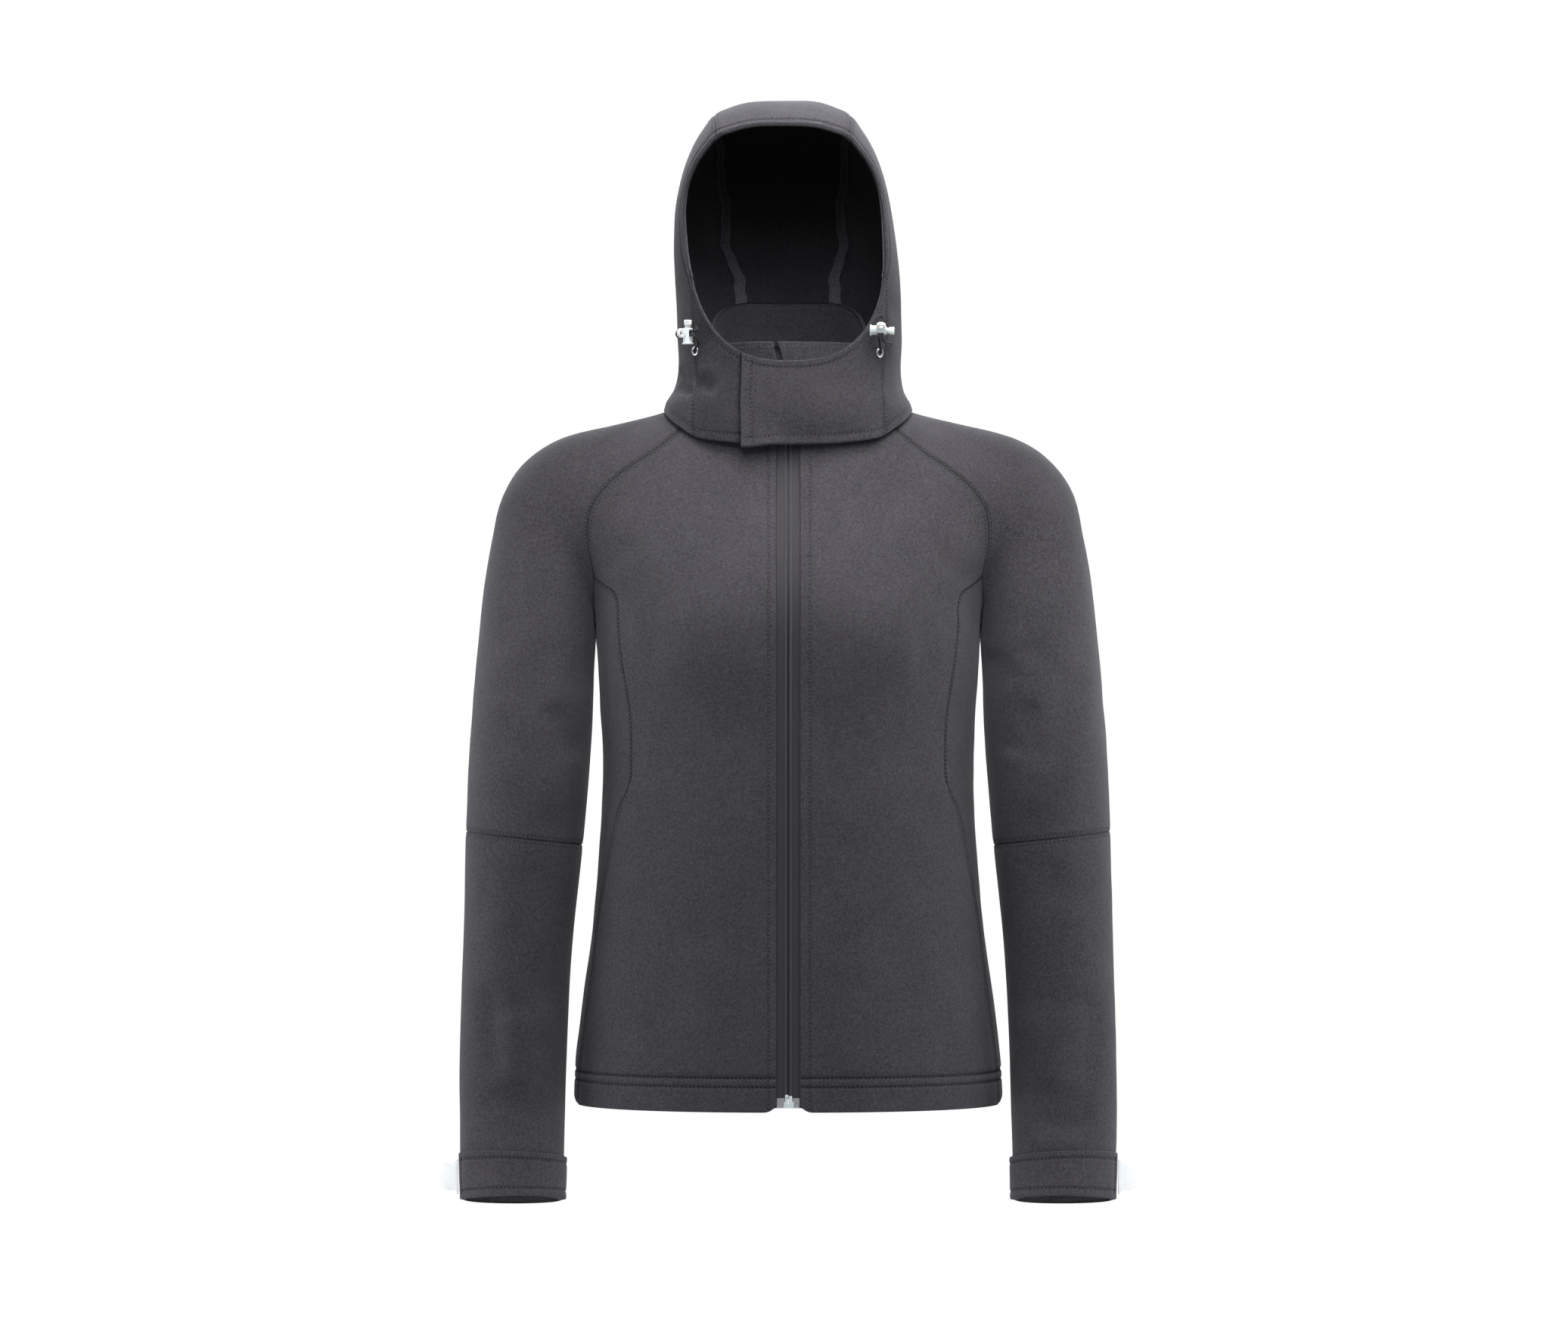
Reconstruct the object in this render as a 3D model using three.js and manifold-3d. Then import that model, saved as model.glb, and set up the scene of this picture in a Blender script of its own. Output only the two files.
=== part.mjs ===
// A women's hooded softshell jacket, filled out as if worn, with the hood up and the zip closed.
// Millimetres, +Z up. The front faces -Y and the wearer's left side is on +X.
// The origin lies on the centre line at the height where the shoulders carry the jacket.
//
// The cloth follows two smooth forms: the body, which is a torso joined softly to two arms,
// and the hood. Each cut piece is a four-sided grid between its seam lines, settled onto its
// form and given a wall inwards. Neighbours share the same seam points, less half a seam gap.
import * as THREE from "three";
import { mergeVertices } from "three/addons/utils/BufferGeometryUtils.js";
import Module from "manifold-3d";

// Cloth and seams
const CLOTH = 2;
const SEAM_GAP = 0.3;
const LAY_GAP = 0.4;

// Lengths, as heights above or below the shoulders
const HEM_Z = -627;
const UNDERARM = { x: 173, y: 3, z: -207 };
const ELBOW = { outerZ: -384, innerZ: -396 };
const CUFF = { z: -711, slope: 0.19 };
const ZIP_HALF = 10;

// Level sections of the torso: half width, then depth in front of and behind the centre.
const TORSO = [
  { z: -680, half: 194, front: 125, back: 114 },
  { z: -627, half: 192.5, front: 125, back: 113 },
  { z: -590, half: 191, front: 124, back: 112 },
  { z: -530, half: 184, front: 120, back: 108 },
  { z: -470, half: 175.5, front: 115, back: 101 },
  { z: -400, half: 169.5, front: 109, back: 91 },
  { z: -330, half: 166.5, front: 106, back: 84 },
  { z: -270, half: 169, front: 112, back: 88 },
  { z: -225, half: 171.5, front: 121, back: 95 },
  { z: -195, half: 173, front: 126, back: 99 },
  { z: -165, half: 178, front: 126, back: 101 },
  { z: -130, half: 193, front: 119, back: 101 },
  { z: -95, half: 203, front: 106, back: 97 },
  { z: -65, half: 190, front: 94, back: 88 },
  { z: -35, half: 150, front: 80, back: 77 },
  { z: -10, half: 104, front: 69, back: 66 },
  { z: 15, half: 72, front: 61, back: 57 },
  { z: 60, half: 56, front: 52, back: 48 },
];
const TORSO_SQUARE = 2.3;
const BUST = { x: 78, z: -172, spread: 62, rise: 9 };

// The arm's centre line from the neck to below the cuff, seen from the front, with the
// tube's half width across that line, its half depth and how far back its middle lies.
const ARM = [
  { x: 52, z: -42, half: 46, depth: 44, mid: 2 },
  { x: 98, z: -55, half: 49, depth: 50, mid: 3 },
  { x: 148, z: -68, half: 50.5, depth: 56, mid: 5 },
  { x: 186, z: -80, half: 52.5, depth: 61, mid: 6 },
  { x: 206, z: -98, half: 53, depth: 63, mid: 7 },
  { x: 215.5, z: -130, half: 51.5, depth: 65, mid: 7 },
  { x: 223, z: -180, half: 52, depth: 67, mid: 7 },
  { x: 227.5, z: -235, half: 53, depth: 67, mid: 8 },
  { x: 231.5, z: -300, half: 54.5, depth: 65, mid: 9 },
  { x: 237, z: -385, half: 53, depth: 61, mid: 8 },
  { x: 242.5, z: -480, half: 49, depth: 55, mid: -3 },
  { x: 245.5, z: -560, half: 48, depth: 49, mid: -16 },
  { x: 246.5, z: -640, half: 47, depth: 43, mid: -30 },
  { x: 246, z: -700, half: 45.5, depth: 38, mid: -40 },
  { x: 245, z: -770, half: 44, depth: 35, mid: -50 },
];
const ARM_STEPS = 6;

// How widely torso and arm melt together, by height: soft at the shoulder, a crease underarm.
const MELT = [
  { z: -230, width: 3.5 },
  { z: -190, width: 4 },
  { z: -150, width: 14 },
  { z: -110, width: 32 },
  { z: -60, width: 34 },
  { z: -20, width: 20 },
  { z: 40, width: 14 },
];

// Neckline, seen from above.
const NECK = { half: 75, front: 74, back: 61 };

// Raglan seams from the neckline to the underarm, seen from the front.
const RAGLAN_FRONT = [
  { x: 94, z: -22 },
  { x: 118, z: -43 },
  { x: 137, z: -56 },
  { x: 153, z: -68 },
  { x: 166, z: -81 },
  { x: 174, z: -94 },
  { x: 178, z: -110 },
  { x: 178, z: -132 },
  { x: 174, z: -155 },
];
const RAGLAN_BACK = [
  { x: 84, z: -26 },
  { x: 108, z: -48 },
  { x: 129, z: -64 },
  { x: 146, z: -78 },
  { x: 159, z: -92 },
  { x: 168, z: -106 },
  { x: 173, z: -121 },
  { x: 175, z: -137 },
  { x: 173, z: -155 },
];
const RAGLAN_NECK = { front: 66, back: 128 };

// Outer line of the shoulder and arm over the raglan rows, seen from the front.
const OVERARM = [
  { x: 75, z: 8 },
  { x: 108, z: 0 },
  { x: 140, z: -11 },
  { x: 172, z: -23 },
  { x: 203, z: -33 },
  { x: 229, z: -46 },
  { x: 246, z: -64 },
  { x: 255, z: -86 },
  { x: 262, z: -110 },
  { x: 268, z: -136 },
  { x: 272, z: -160 },
  { x: 276, z: -184 },
  { x: 279, z: -207 },
];

// Panel seams down the body, seen from the front, from the raglan seam to the hem.
const PRINCESS_FRONT = [
  { x: 164, z: -163 },
  { x: 155, z: -170 },
  { x: 151, z: -182 },
  { x: 150.5, z: -205 },
  { x: 146, z: -243 },
  { x: 140.5, z: -282 },
  { x: 139.5, z: -312 },
  { x: 141, z: -341 },
  { x: 151, z: -362 },
  { x: 157, z: -390 },
  { x: 164, z: -428 },
  { x: 171, z: -470 },
  { x: 176.5, z: -520 },
  { x: 182.5, z: -565 },
  { x: 186.5, z: -600 },
  { x: 188, z: HEM_Z },
];
const PRINCESS_BACK = [
  { x: 160, z: -165 },
  { x: 148, z: -173 },
  { x: 140, z: -187 },
  { x: 134, z: -210 },
  { x: 126, z: -247 },
  { x: 120, z: -285 },
  { x: 118, z: -315 },
  { x: 118, z: -343 },
  { x: 119, z: -366 },
  { x: 122, z: -394 },
  { x: 127, z: -432 },
  { x: 133, z: -474 },
  { x: 140, z: -522 },
  { x: 146, z: -566 },
  { x: 150, z: -600 },
  { x: 152, z: HEM_Z },
];

// Level sections of the hood and the round crown above them.
const HOOD = [
  { z: -60, half: 117, front: 97, back: 74 },
  { z: -20, half: 114, front: 95, back: 74 },
  { z: 0, half: 110, front: 93, back: 74 },
  { z: 12, half: 103.5, front: 91, back: 74 },
  { z: 32, half: 100, front: 88, back: 76 },
  { z: 60, half: 101, front: 87, back: 84 },
  { z: 100, half: 101, front: 91, back: 99 },
  { z: 150, half: 100.5, front: 102, back: 112 },
  { z: 200, half: 100, front: 111, back: 118 },
  { z: 280, half: 100, front: 115, back: 118 },
];
const HOOD_SQUARE = 2.4;
const CROWN = { from: 100, height: 173.5, power: 2.8 };
const HOOD_LEAN = [
  { z: 0, x: 0 },
  { z: 40, x: 1.5 },
  { z: 60, x: 1.5 },
  { z: 100, x: 0 },
  { z: 165, x: -4 },
  { z: 200, x: -4.8 },
  { z: 280, x: -5.5 },
];
const FACE = { half: 91, midZ: 156, up: 91, down: 121, upSquare: 2.5, downSquare: 2.5 };
const HOOD_HEART = { y: 5, z: 95 };
const HOOD_SKIRT = {
  half: 110,
  drop: 39,
  square: 3,
  clear: 0.8,
  probes: [
    { inward: 0, turn: 0 },
    { inward: -3, turn: 0 },
    { inward: 0, turn: 0.04 },
    { inward: 0, turn: -0.04 },
    { inward: -3, turn: 0.04 },
    { inward: -3, turn: -0.04 },
  ],
};
const HOOD_STRIP = [
  { t: 0, half: 58 },
  { t: 0.2, half: 60 },
  { t: 0.45, half: 55 },
  { t: 0.7, half: 45 },
  { t: 1, half: 38 },
];
const CHEEK_Z = 112;
const CHIN_SEAM = [
  { x: 85, z: -30 },
  { x: 84.5, z: 0 },
  { x: 84.5, z: 45 },
  { x: 86, z: 80 },
];
const FLAP = { tip: -42, rise: CLOTH + LAY_GAP, settleFrom: 24, settleTo: 60 };
const UNDERLAP_TIP = 14;
const HOOD_TAPE = { width: 12, thick: 0.8, off: 0.95 };

// Stand collar
const COLLAR = { half: 71, front: 70, back: 65, frontZ: 53, backZ: 95, thick: 2.4, endHalf: 5.3 };

// Zip
const TAPE = { out: 15, thick: 0.9, inner: 0.7, bottom: 4, top: 49 };
const CHAIN = { half: 2.4, thick: 1.4 };
const ZIP_BOX = { wide: 8.6, tall: 6, thick: 1.8 };
const SLIDER = { wide: 9, tall: 11, thick: 1.6, neck: 0.7, off: 0.75, z: 30 };
const BRIDGE = { wide: 1.8, tall: 8, room: 2.4, bar: 1.1 };
const PULL = { wide: 5, tall: 24, thick: 1.4, bar: 1.4, drop: 5.8, room: 2.4 };

// Cuff strap and its moulded grip
const STRAP = { tall: 37, from: -0.2, to: 2.88, off: 0.8 };
const GRIP = { out: 18, tall: 31, tipTall: 23, thick: 1.6, corner: 6, tuck: 1.7 };

// Hood cord, its eyelets and locks
const EYELET = { outer: 4.4, hole: 2.4, thick: 0.8, off: 0.4 };
const CORD = { radius: 1.2, sides: 8, steps: 24 };
const LOCK = {
  radius: 4.25,
  foot: -9.8,
  floor: -8.2,
  rim: 4.8,
  bore: 2.95,
  play: 0.35,
  cap: 12,
  capRadius: 3.5,
  travel: 2.5,
  slotWide: 3.2,
  slotTall: 6.4,
  lane: 1.55,
  lug: 4.1,
  lugHole: 2,
  lugOut: 7.4,
  lugThick: 3.4,
};

const COLOURS = {
  cloth: new THREE.MeshStandardMaterial({ color: 0x4b494d, roughness: 0.9, metalness: 0 }),
  lining: new THREE.MeshStandardMaterial({ color: 0x3b393d, roughness: 1, metalness: 0 }),
  tape: new THREE.MeshStandardMaterial({ color: 0x353338, roughness: 0.8, metalness: 0 }),
  clear: new THREE.MeshStandardMaterial({ color: 0xe8eaec, roughness: 0.2, metalness: 0 }),
  metal: new THREE.MeshStandardMaterial({ color: 0xb9bbc0, roughness: 0.3, metalness: 1 }),
  cord: new THREE.MeshStandardMaterial({ color: 0x161618, roughness: 0.8, metalness: 0 }),
};

const vec = (x, y, z) => new THREE.Vector3(x, y, z);
const UP = vec(0, 0, 1);
const lerp = THREE.MathUtils.lerp;
const spread = (count) => Array.from({ length: count + 1 }, (_, i) => i / count);

// Reads one named column of a table at a place between its rows, on a smooth curve.
function read(table, key, column, at) {
  const last = table.length - 1;
  const clamped = Math.min(Math.max(at, table[0][key]), table[last][key]);
  let i = 0;
  while (i < last - 1 && table[i + 1][key] < clamped) i += 1;
  const slope = (k) => {
    const a = table[Math.max(k - 1, 0)];
    const b = table[Math.min(k + 1, last)];
    return (b[column] - a[column]) / (b[key] - a[key]);
  };
  const [p, q] = [table[i], table[i + 1]];
  const span = q[key] - p[key];
  const t = (clamped - p[key]) / span;
  const [t2, t3] = [t * t, t * t * t];
  return (
    (2 * t3 - 3 * t2 + 1) * p[column] +
    (t3 - 2 * t2 + t) * span * slope(i) +
    (3 * t2 - 2 * t3) * q[column] +
    (t3 - t2) * span * slope(i + 1)
  );
}

// A smooth line through rows of named columns, read by a share from 0 to 1 of its rows.
function line(rows) {
  const numbered = rows.map((row, i) => ({ ...row, share: i / (rows.length - 1) }));
  return (share, column) => read(numbered, "share", column, share);
}

const armLine = line(ARM);
const armSamples = spread((ARM.length - 1) * ARM_STEPS).map((share) => ({
  x: armLine(share, "x"),
  z: armLine(share, "z"),
  half: armLine(share, "half"),
  depth: armLine(share, "depth"),
  mid: armLine(share, "mid"),
}));

// Distance from a rounded section: how far the point lies past it along its own ray.
function pastSection(u, v, halfU, halfV, square) {
  const ratio = (Math.abs(u / halfU) ** square + Math.abs(v / halfV) ** square) ** (1 / square);
  return Math.hypot(u, v) * (1 - 1 / Math.max(ratio, 1e-6));
}

function torsoDistance(x, y, z) {
  const depth = read(TORSO, "z", y < 0 ? "front" : "back", z);
  const bust = y < 0 ? Math.hypot(Math.abs(x) - BUST.x, z - BUST.z) / BUST.spread : Infinity;
  const rise = BUST.rise * Math.exp(-bust * bust);
  return pastSection(x, y, read(TORSO, "z", "half", z), depth + rise, TORSO_SQUARE);
}

function armDistance(x, y, z) {
  let best = Infinity;
  let section = null;
  for (let i = 0; i + 1 < armSamples.length; i += 1) {
    const [a, b] = [armSamples[i], armSamples[i + 1]];
    const [dx, dz] = [b.x - a.x, b.z - a.z];
    const along = ((Math.abs(x) - a.x) * dx + (z - a.z) * dz) / (dx * dx + dz * dz);
    const t = Math.min(Math.max(along, 0), 1);
    const off = Math.hypot(Math.abs(x) - a.x - dx * t, z - a.z - dz * t);
    if (off < best) {
      best = off;
      section = [a, b, t];
    }
  }
  const [a, b, t] = section;
  const mid = lerp(a.mid, b.mid, t);
  return pastSection(best, y - mid, lerp(a.half, b.half, t), lerp(a.depth, b.depth, t), 2.1);
}

// The soft fillet where torso and arm lie near each other.
function fillet(torso, arm, z) {
  const width = read(MELT, "z", "width", z);
  const near = Math.max(width - Math.abs(torso - arm), 0) / width;
  return (near * near * width) / 4;
}

// The body form: torso and arm joined where they meet. The side form is its torso part alone.
function bodyForm(p) {
  const [torso, arm] = [torsoDistance(p.x, p.y, p.z), armDistance(p.x, p.y, p.z)];
  return Math.min(torso, arm) - fillet(torso, arm, p.z);
}
function sideForm(p) {
  const [torso, arm] = [torsoDistance(p.x, p.y, p.z), armDistance(p.x, p.y, p.z)];
  return torso - fillet(torso, arm, p.z);
}
const armForm = (p) => armDistance(p.x, p.y, p.z);

// The hood form: level sections that close over the crown.
function hoodForm(p) {
  const depth = read(HOOD, "z", p.y < 0 ? "front" : "back", p.z);
  const half = read(HOOD, "z", "half", p.z);
  const level =
    (Math.abs(p.x / half) ** HOOD_SQUARE + Math.abs(p.y / depth) ** HOOD_SQUARE) **
    (1 / HOOD_SQUARE);
  const above = Math.max(p.z - CROWN.from, 0);
  const ratio = (level ** CROWN.power + (above / CROWN.height) ** CROWN.power) ** (1 / CROWN.power);
  return Math.hypot(p.x, p.y, above) * (1 - 1 / Math.max(ratio, 1e-6));
}

// Steepest direction away from a form, which is the cloth's outward normal.
function slopeOf(form, p) {
  const step = 0.4;
  const at = (dx, dy, dz) => form(vec(p.x + dx, p.y + dy, p.z + dz));
  return vec(
    at(step, 0, 0) - at(-step, 0, 0),
    at(0, step, 0) - at(0, -step, 0),
    at(0, 0, step) - at(0, 0, -step),
  ).divideScalar(2 * step);
}

// Moves a point along the form's slope until it lies on the form.
function settle(form, p) {
  const q = p.clone();
  for (let round = 0; round < 9; round += 1) {
    const slope = slopeOf(form, q);
    const move = form(q) / Math.max(slope.lengthSq(), 1e-4);
    q.addScaledVector(slope, -THREE.MathUtils.clamp(move, -15, 15));
  }
  return q;
}

// First meeting with a form on a straight way from outside to inside, by halving.
function meet(form, outside, inside) {
  const steps = 60;
  let [low, high] = [0, 1];
  const at = (share) => outside.clone().lerp(inside, share);
  for (let i = 1; i <= steps; i += 1) {
    if (form(at(i / steps)) <= 0) {
      [low, high] = [(i - 1) / steps, i / steps];
      break;
    }
  }
  for (let i = 0; i < 24; i += 1) {
    const middle = (low + high) / 2;
    if (form(at(middle)) > 0) low = middle;
    else high = middle;
  }
  return at(high);
}

const REACH = 260;
const fromFront = (form, x, z) => meet(form, vec(x, -REACH, z), vec(x, 0, z));
const fromBack = (form, x, z) => meet(form, vec(x, REACH, z), vec(x, 0, z));
const fromAbove = (form, x, y) => meet(form, vec(x, y, 90), vec(x, y, -120));

// Point of the neckline at an angle in degrees, from the centre front round to the back.
function neckline(degrees) {
  const turn = THREE.MathUtils.degToRad(degrees);
  const depth = Math.cos(turn) > 0 ? NECK.front : NECK.back;
  return fromAbove(bodyForm, NECK.half * Math.sin(turn), -depth * Math.cos(turn));
}

// The crease where arm and torso press together, below the open part of the raglan seam.
function creasePoint(z, side) {
  const torsoEdge = read(TORSO, "z", "half", z);
  const armEdge = fromArmInside(z);
  const overlap = Math.max(torsoEdge - armEdge, 0);
  const x = (torsoEdge + armEdge) / 2;
  return settle(bodyForm, vec(x, UNDERARM.y + side * Math.sqrt(84 * overlap), z));
}

function fromArmInside(z) {
  const share = armSamples.reduce((a, b) => (Math.abs(b.z - z) < Math.abs(a.z - z) ? b : a));
  return share.x - share.half;
}

// A seam as points, with the number of steps that every piece along it uses.
const RAGLAN_CREASE_ZS = [-170, -183, -195];
function raglanSeam(table, neckDegrees, project, side) {
  return [
    neckline(neckDegrees),
    ...table.map((row) => project(bodyForm, row.x, row.z)),
    ...RAGLAN_CREASE_ZS.map((z) => creasePoint(z, side)),
    settle(bodyForm, vec(UNDERARM.x, UNDERARM.y, UNDERARM.z)),
  ];
}

const raglanFront = raglanSeam(RAGLAN_FRONT, RAGLAN_NECK.front, fromFront, -1);
const raglanBack = raglanSeam(RAGLAN_BACK, RAGLAN_NECK.back, fromBack, 1);
const princessFront = PRINCESS_FRONT.map((row) => fromFront(bodyForm, row.x, row.z));
const princessBack = PRINCESS_BACK.map((row) => fromBack(bodyForm, row.x, row.z));
const BRANCH = RAGLAN_FRONT.length;

// A grid of points between four rows of points that share their corners.
// left and right run upwards with the same count, bottom and top run across with the same count.
function between(left, right, bottom, top) {
  const [rows, columns] = [left.length - 1, bottom.length - 1];
  const share = (points) => {
    const lengths = [0];
    for (let i = 1; i < points.length; i += 1)
      lengths.push(lengths[i - 1] + points[i].distanceTo(points[i - 1]));
    return lengths.map((length) => length / lengths[lengths.length - 1]);
  };
  const [leftShare, rightShare] = [share(left), share(right)];
  const [bottomShare, topShare] = [share(bottom), share(top)];
  return left.map((_, j) =>
    bottom.map((__, i) => {
      const [a, b] = [i / columns, j / rows];
      const v = lerp(leftShare[j], rightShare[j], a);
      const u = lerp(bottomShare[i], topShare[i], b);
      const p = left[j].clone().multiplyScalar(1 - u).addScaledVector(right[j], u);
      p.addScaledVector(bottom[i], 1 - v).addScaledVector(top[i], v);
      p.addScaledVector(bottom[0], -(1 - u) * (1 - v)).addScaledVector(bottom[columns], -u * (1 - v));
      return p.addScaledVector(top[0], -(1 - u) * v).addScaledVector(top[columns], -u * v);
    }),
  );
}

// Settles a grid onto a form and leaves its four edges as they are.
function onForm(form, grid, towards = null) {
  return grid.map((row, j) =>
    row.map((p, i) => {
      if (j === 0 || j === grid.length - 1 || i === 0 || i === row.length - 1) return p;
      if (!towards) return settle(form, p);
      const out = p.clone().sub(towards).setLength(REACH).add(towards);
      return meet(form, out, towards);
    }),
  );
}

// Draws the named edges of a grid in by half a seam gap, along its form and square to each edge.
function drawIn(form, grid, open) {
  const [rows, columns] = [grid.length - 1, grid[0].length - 1];
  const up = spread(rows).map((_, j) => j);
  const across = spread(columns).map((_, i) => i);
  const edges = {
    bottom: across.map((i) => [0, i, 1, i]),
    top: across.map((i) => [rows, i, rows - 1, i]),
    left: up.map((j) => [j, 0, j, 1]),
    right: up.map((j) => [j, columns, j, columns - 1]),
  };
  const drawn = grid.map((row) => row.map((p) => p.clone()));
  for (const name of open) {
    const edge = edges[name];
    let inwards = 0;
    const moves = edge.map(([j, i, nextJ, nextI], k) => {
      const [aj, ai] = edge[Math.max(k - 1, 0)];
      const [bj, bi] = edge[Math.min(k + 1, edge.length - 1)];
      const along = grid[bj][bi].clone().sub(grid[aj][ai]);
      const move = along.cross(slopeOf(form, grid[j][i])).setLength(SEAM_GAP / 2);
      inwards += move.dot(grid[nextJ][nextI].clone().sub(grid[j][i]));
      return move;
    });
    edge.forEach(([j, i], k) => drawn[j][i].addScaledVector(moves[k], Math.sign(inwards)));
  }
  return drawn;
}

// Outward directions of a grid, from its own neighbours, for pieces that lie on no form.
function gridNormals(grid, outwardFrom) {
  const [rows, columns] = [grid.length - 1, grid[0].length - 1];
  return grid.map((row, j) =>
    row.map((p, i) => {
      const across = grid[j][Math.min(i + 1, columns)].clone().sub(grid[j][Math.max(i - 1, 0)]);
      const up = grid[Math.min(j + 1, rows)][i].clone().sub(grid[Math.max(j - 1, 0)][i]);
      const normal = across.cross(up).normalize();
      return normal.dot(p.clone().sub(outwardFrom(p))) < 0 ? normal.negate() : normal;
    }),
  );
}

// Closes a grid of outer points and outward directions into a wall of one thickness.
// joined(j) says whether the first and last point of row j are the same point, as on a tube.
function wall(grid, normals, thick, { joined = () => false, lift = () => 0 } = {}) {
  const [rows, columns] = [grid.length - 1, grid[0].length - 1];
  const points = [];
  const index = [[], []];
  for (const layer of [0, 1]) {
    for (let j = 0; j <= rows; j += 1) {
      index[layer].push([]);
      for (let i = 0; i <= columns; i += 1) {
        if (i === columns && joined(j)) {
          index[layer][j].push(index[layer][j][0]);
          continue;
        }
        const out = lift(j / rows, i / columns) - layer * thick;
        points.push(grid[j][i].clone().addScaledVector(normals[j][i], out));
        index[layer][j].push(points.length - 1);
      }
    }
  }
  const middle = [rows >> 1, columns >> 1];
  const across = grid[middle[0]][Math.min(middle[1] + 1, columns)].clone().sub(grid[middle[0]][middle[1]]);
  const up = grid[middle[0] + 1 > rows ? rows : middle[0] + 1][middle[1]].clone();
  up.sub(grid[middle[0]][middle[1]]);
  const outward = across.cross(up).dot(normals[middle[0]][middle[1]]) > 0;
  const faces = [];
  const triangle = (a, b, c) => {
    if (a === b || b === c || a === c) return;
    faces.push(...(outward ? [a, b, c] : [a, c, b]));
  };
  const quad = (a, b, c, d) => {
    triangle(a, b, c);
    triangle(a, c, d);
  };
  const [outer, inner] = index;
  for (let j = 0; j < rows; j += 1) {
    for (let i = 0; i < columns; i += 1) {
      quad(outer[j][i], outer[j][i + 1], outer[j + 1][i + 1], outer[j + 1][i]);
      quad(inner[j][i], inner[j + 1][i], inner[j + 1][i + 1], inner[j][i + 1]);
    }
    if (joined(j) && joined(j + 1)) continue;
    quad(inner[j][0], outer[j][0], outer[j + 1][0], inner[j + 1][0]);
    quad(outer[j][columns], inner[j][columns], inner[j + 1][columns], outer[j + 1][columns]);
  }
  for (let i = 0; i < columns; i += 1) {
    quad(inner[0][i], inner[0][i + 1], outer[0][i + 1], outer[0][i]);
    quad(outer[rows][i], outer[rows][i + 1], inner[rows][i + 1], inner[rows][i]);
  }
  const geometry = new THREE.BufferGeometry();
  const flat = points.flatMap((p) => [p.x, p.y, p.z]);
  geometry.setAttribute("position", new THREE.Float32BufferAttribute(flat, 3));
  geometry.setIndex(faces);
  return geometry;
}

const formNormals = (form, grid) =>
  grid.map((row) => row.map((p) => slopeOf(form, p).normalize()));

// A cloth piece on a form: its edges drawn in and its wall turned inwards.
function cloth(form, grid, open, options = {}) {
  const drawn = drawIn(form, grid, open);
  return wall(drawn, formNormals(form, drawn), options.thick ?? CLOTH, options);
}

// A geometry with its shared corners joined.
function welded(geometry) {
  const bare = new THREE.BufferGeometry();
  bare.setAttribute("position", geometry.getAttribute("position"));
  if (geometry.getIndex()) bare.setIndex(geometry.getIndex());
  return mergeVertices(bare, 1e-4);
}

// The same shape on the other side of the centre line.
function mirrored(geometry) {
  const copy = geometry.clone();
  copy.scale(-1, 1, 1);
  const faces = copy.getIndex().array;
  for (let i = 0; i < faces.length; i += 3) [faces[i + 1], faces[i + 2]] = [faces[i + 2], faces[i + 1]];
  return copy;
}

const jacket = new THREE.Group();
function add(name, geometry, material) {
  const mesh = new THREE.Mesh(geometry, material);
  mesh.name = name;
  jacket.add(mesh);
  return mesh;
}
function addPair(name, geometry, material) {
  add(`${name}_left`, geometry, material);
  add(`${name}_right`, mirrored(geometry), material);
}

// Even points on a form between two of its points, spaced by the given shares.
const strung = (form, a, b, shares) =>
  shares.map((share) => {
    if (share === 0) return a;
    return share === 1 ? b : settle(form, a.clone().lerp(b, share));
  });

// Front of the body: from the zip to the panel seam, and above it to the raglan seam.
const frontSeam = [...princessFront].reverse().concat(raglanFront.slice(0, BRANCH + 1).reverse());
const zipTopZ = neckline(THREE.MathUtils.radToDeg(Math.asin(ZIP_HALF / NECK.half))).z;
const panelZs = frontSeam.map((p) =>
  THREE.MathUtils.mapLinear(p.z, HEM_Z, frontSeam.at(-1).z, HEM_Z, zipTopZ),
);
const FRONT_COLUMNS = 7;
function frontPanel() {
  const seam = frontSeam;
  const neckDegrees = THREE.MathUtils.radToDeg(Math.asin(ZIP_HALF / NECK.half));
  const top = spread(FRONT_COLUMNS).map((share) => neckline(lerp(neckDegrees, RAGLAN_NECK.front, share)));
  const zipEdge = panelZs.map((z, j) =>
    j === seam.length - 1 ? top[0] : fromFront(bodyForm, ZIP_HALF, z),
  );
  const hem = spread(FRONT_COLUMNS).map((share) => {
    if (share === 1) return seam[0];
    return fromFront(bodyForm, lerp(ZIP_HALF, PRINCESS_FRONT.at(-1).x, share), HEM_Z);
  });
  const grid = between(zipEdge, seam, hem, top);
  return cloth(bodyForm, onForm(bodyForm, grid), ["top", "right"]);
}

// Side of the body, from the front panel seam round to the back one, up into the underarm.
function sidePanel() {
  const bottomFront = princessFront.at(-1);
  const bottomBack = princessBack.at(-1);
  const front = [raglanFront[BRANCH], ...princessFront].reverse();
  const back = [raglanBack[BRANCH], ...princessBack].reverse();
  const top = raglanFront.slice(BRANCH).concat(raglanBack.slice(BRANCH, -1).reverse());
  const bottom = top.map((_, i) => {
    const turn = lerp(sideTurn(bottomFront), sideTurn(bottomBack), i / (top.length - 1));
    const out = vec(Math.cos(turn) * REACH, Math.sin(turn) * REACH, HEM_Z);
    return meet(sideForm, out, vec(0, 0, HEM_Z));
  });
  bottom[0] = bottomFront;
  bottom[bottom.length - 1] = bottomBack;
  const grid = between(front, back, bottom, top);
  return cloth(bodyForm, onForm(sideForm, grid), ["top", "left", "right"]);
}
const sideTurn = (p) => Math.atan2(p.y, p.x);

const BACK_COLUMNS = 10;
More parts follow.
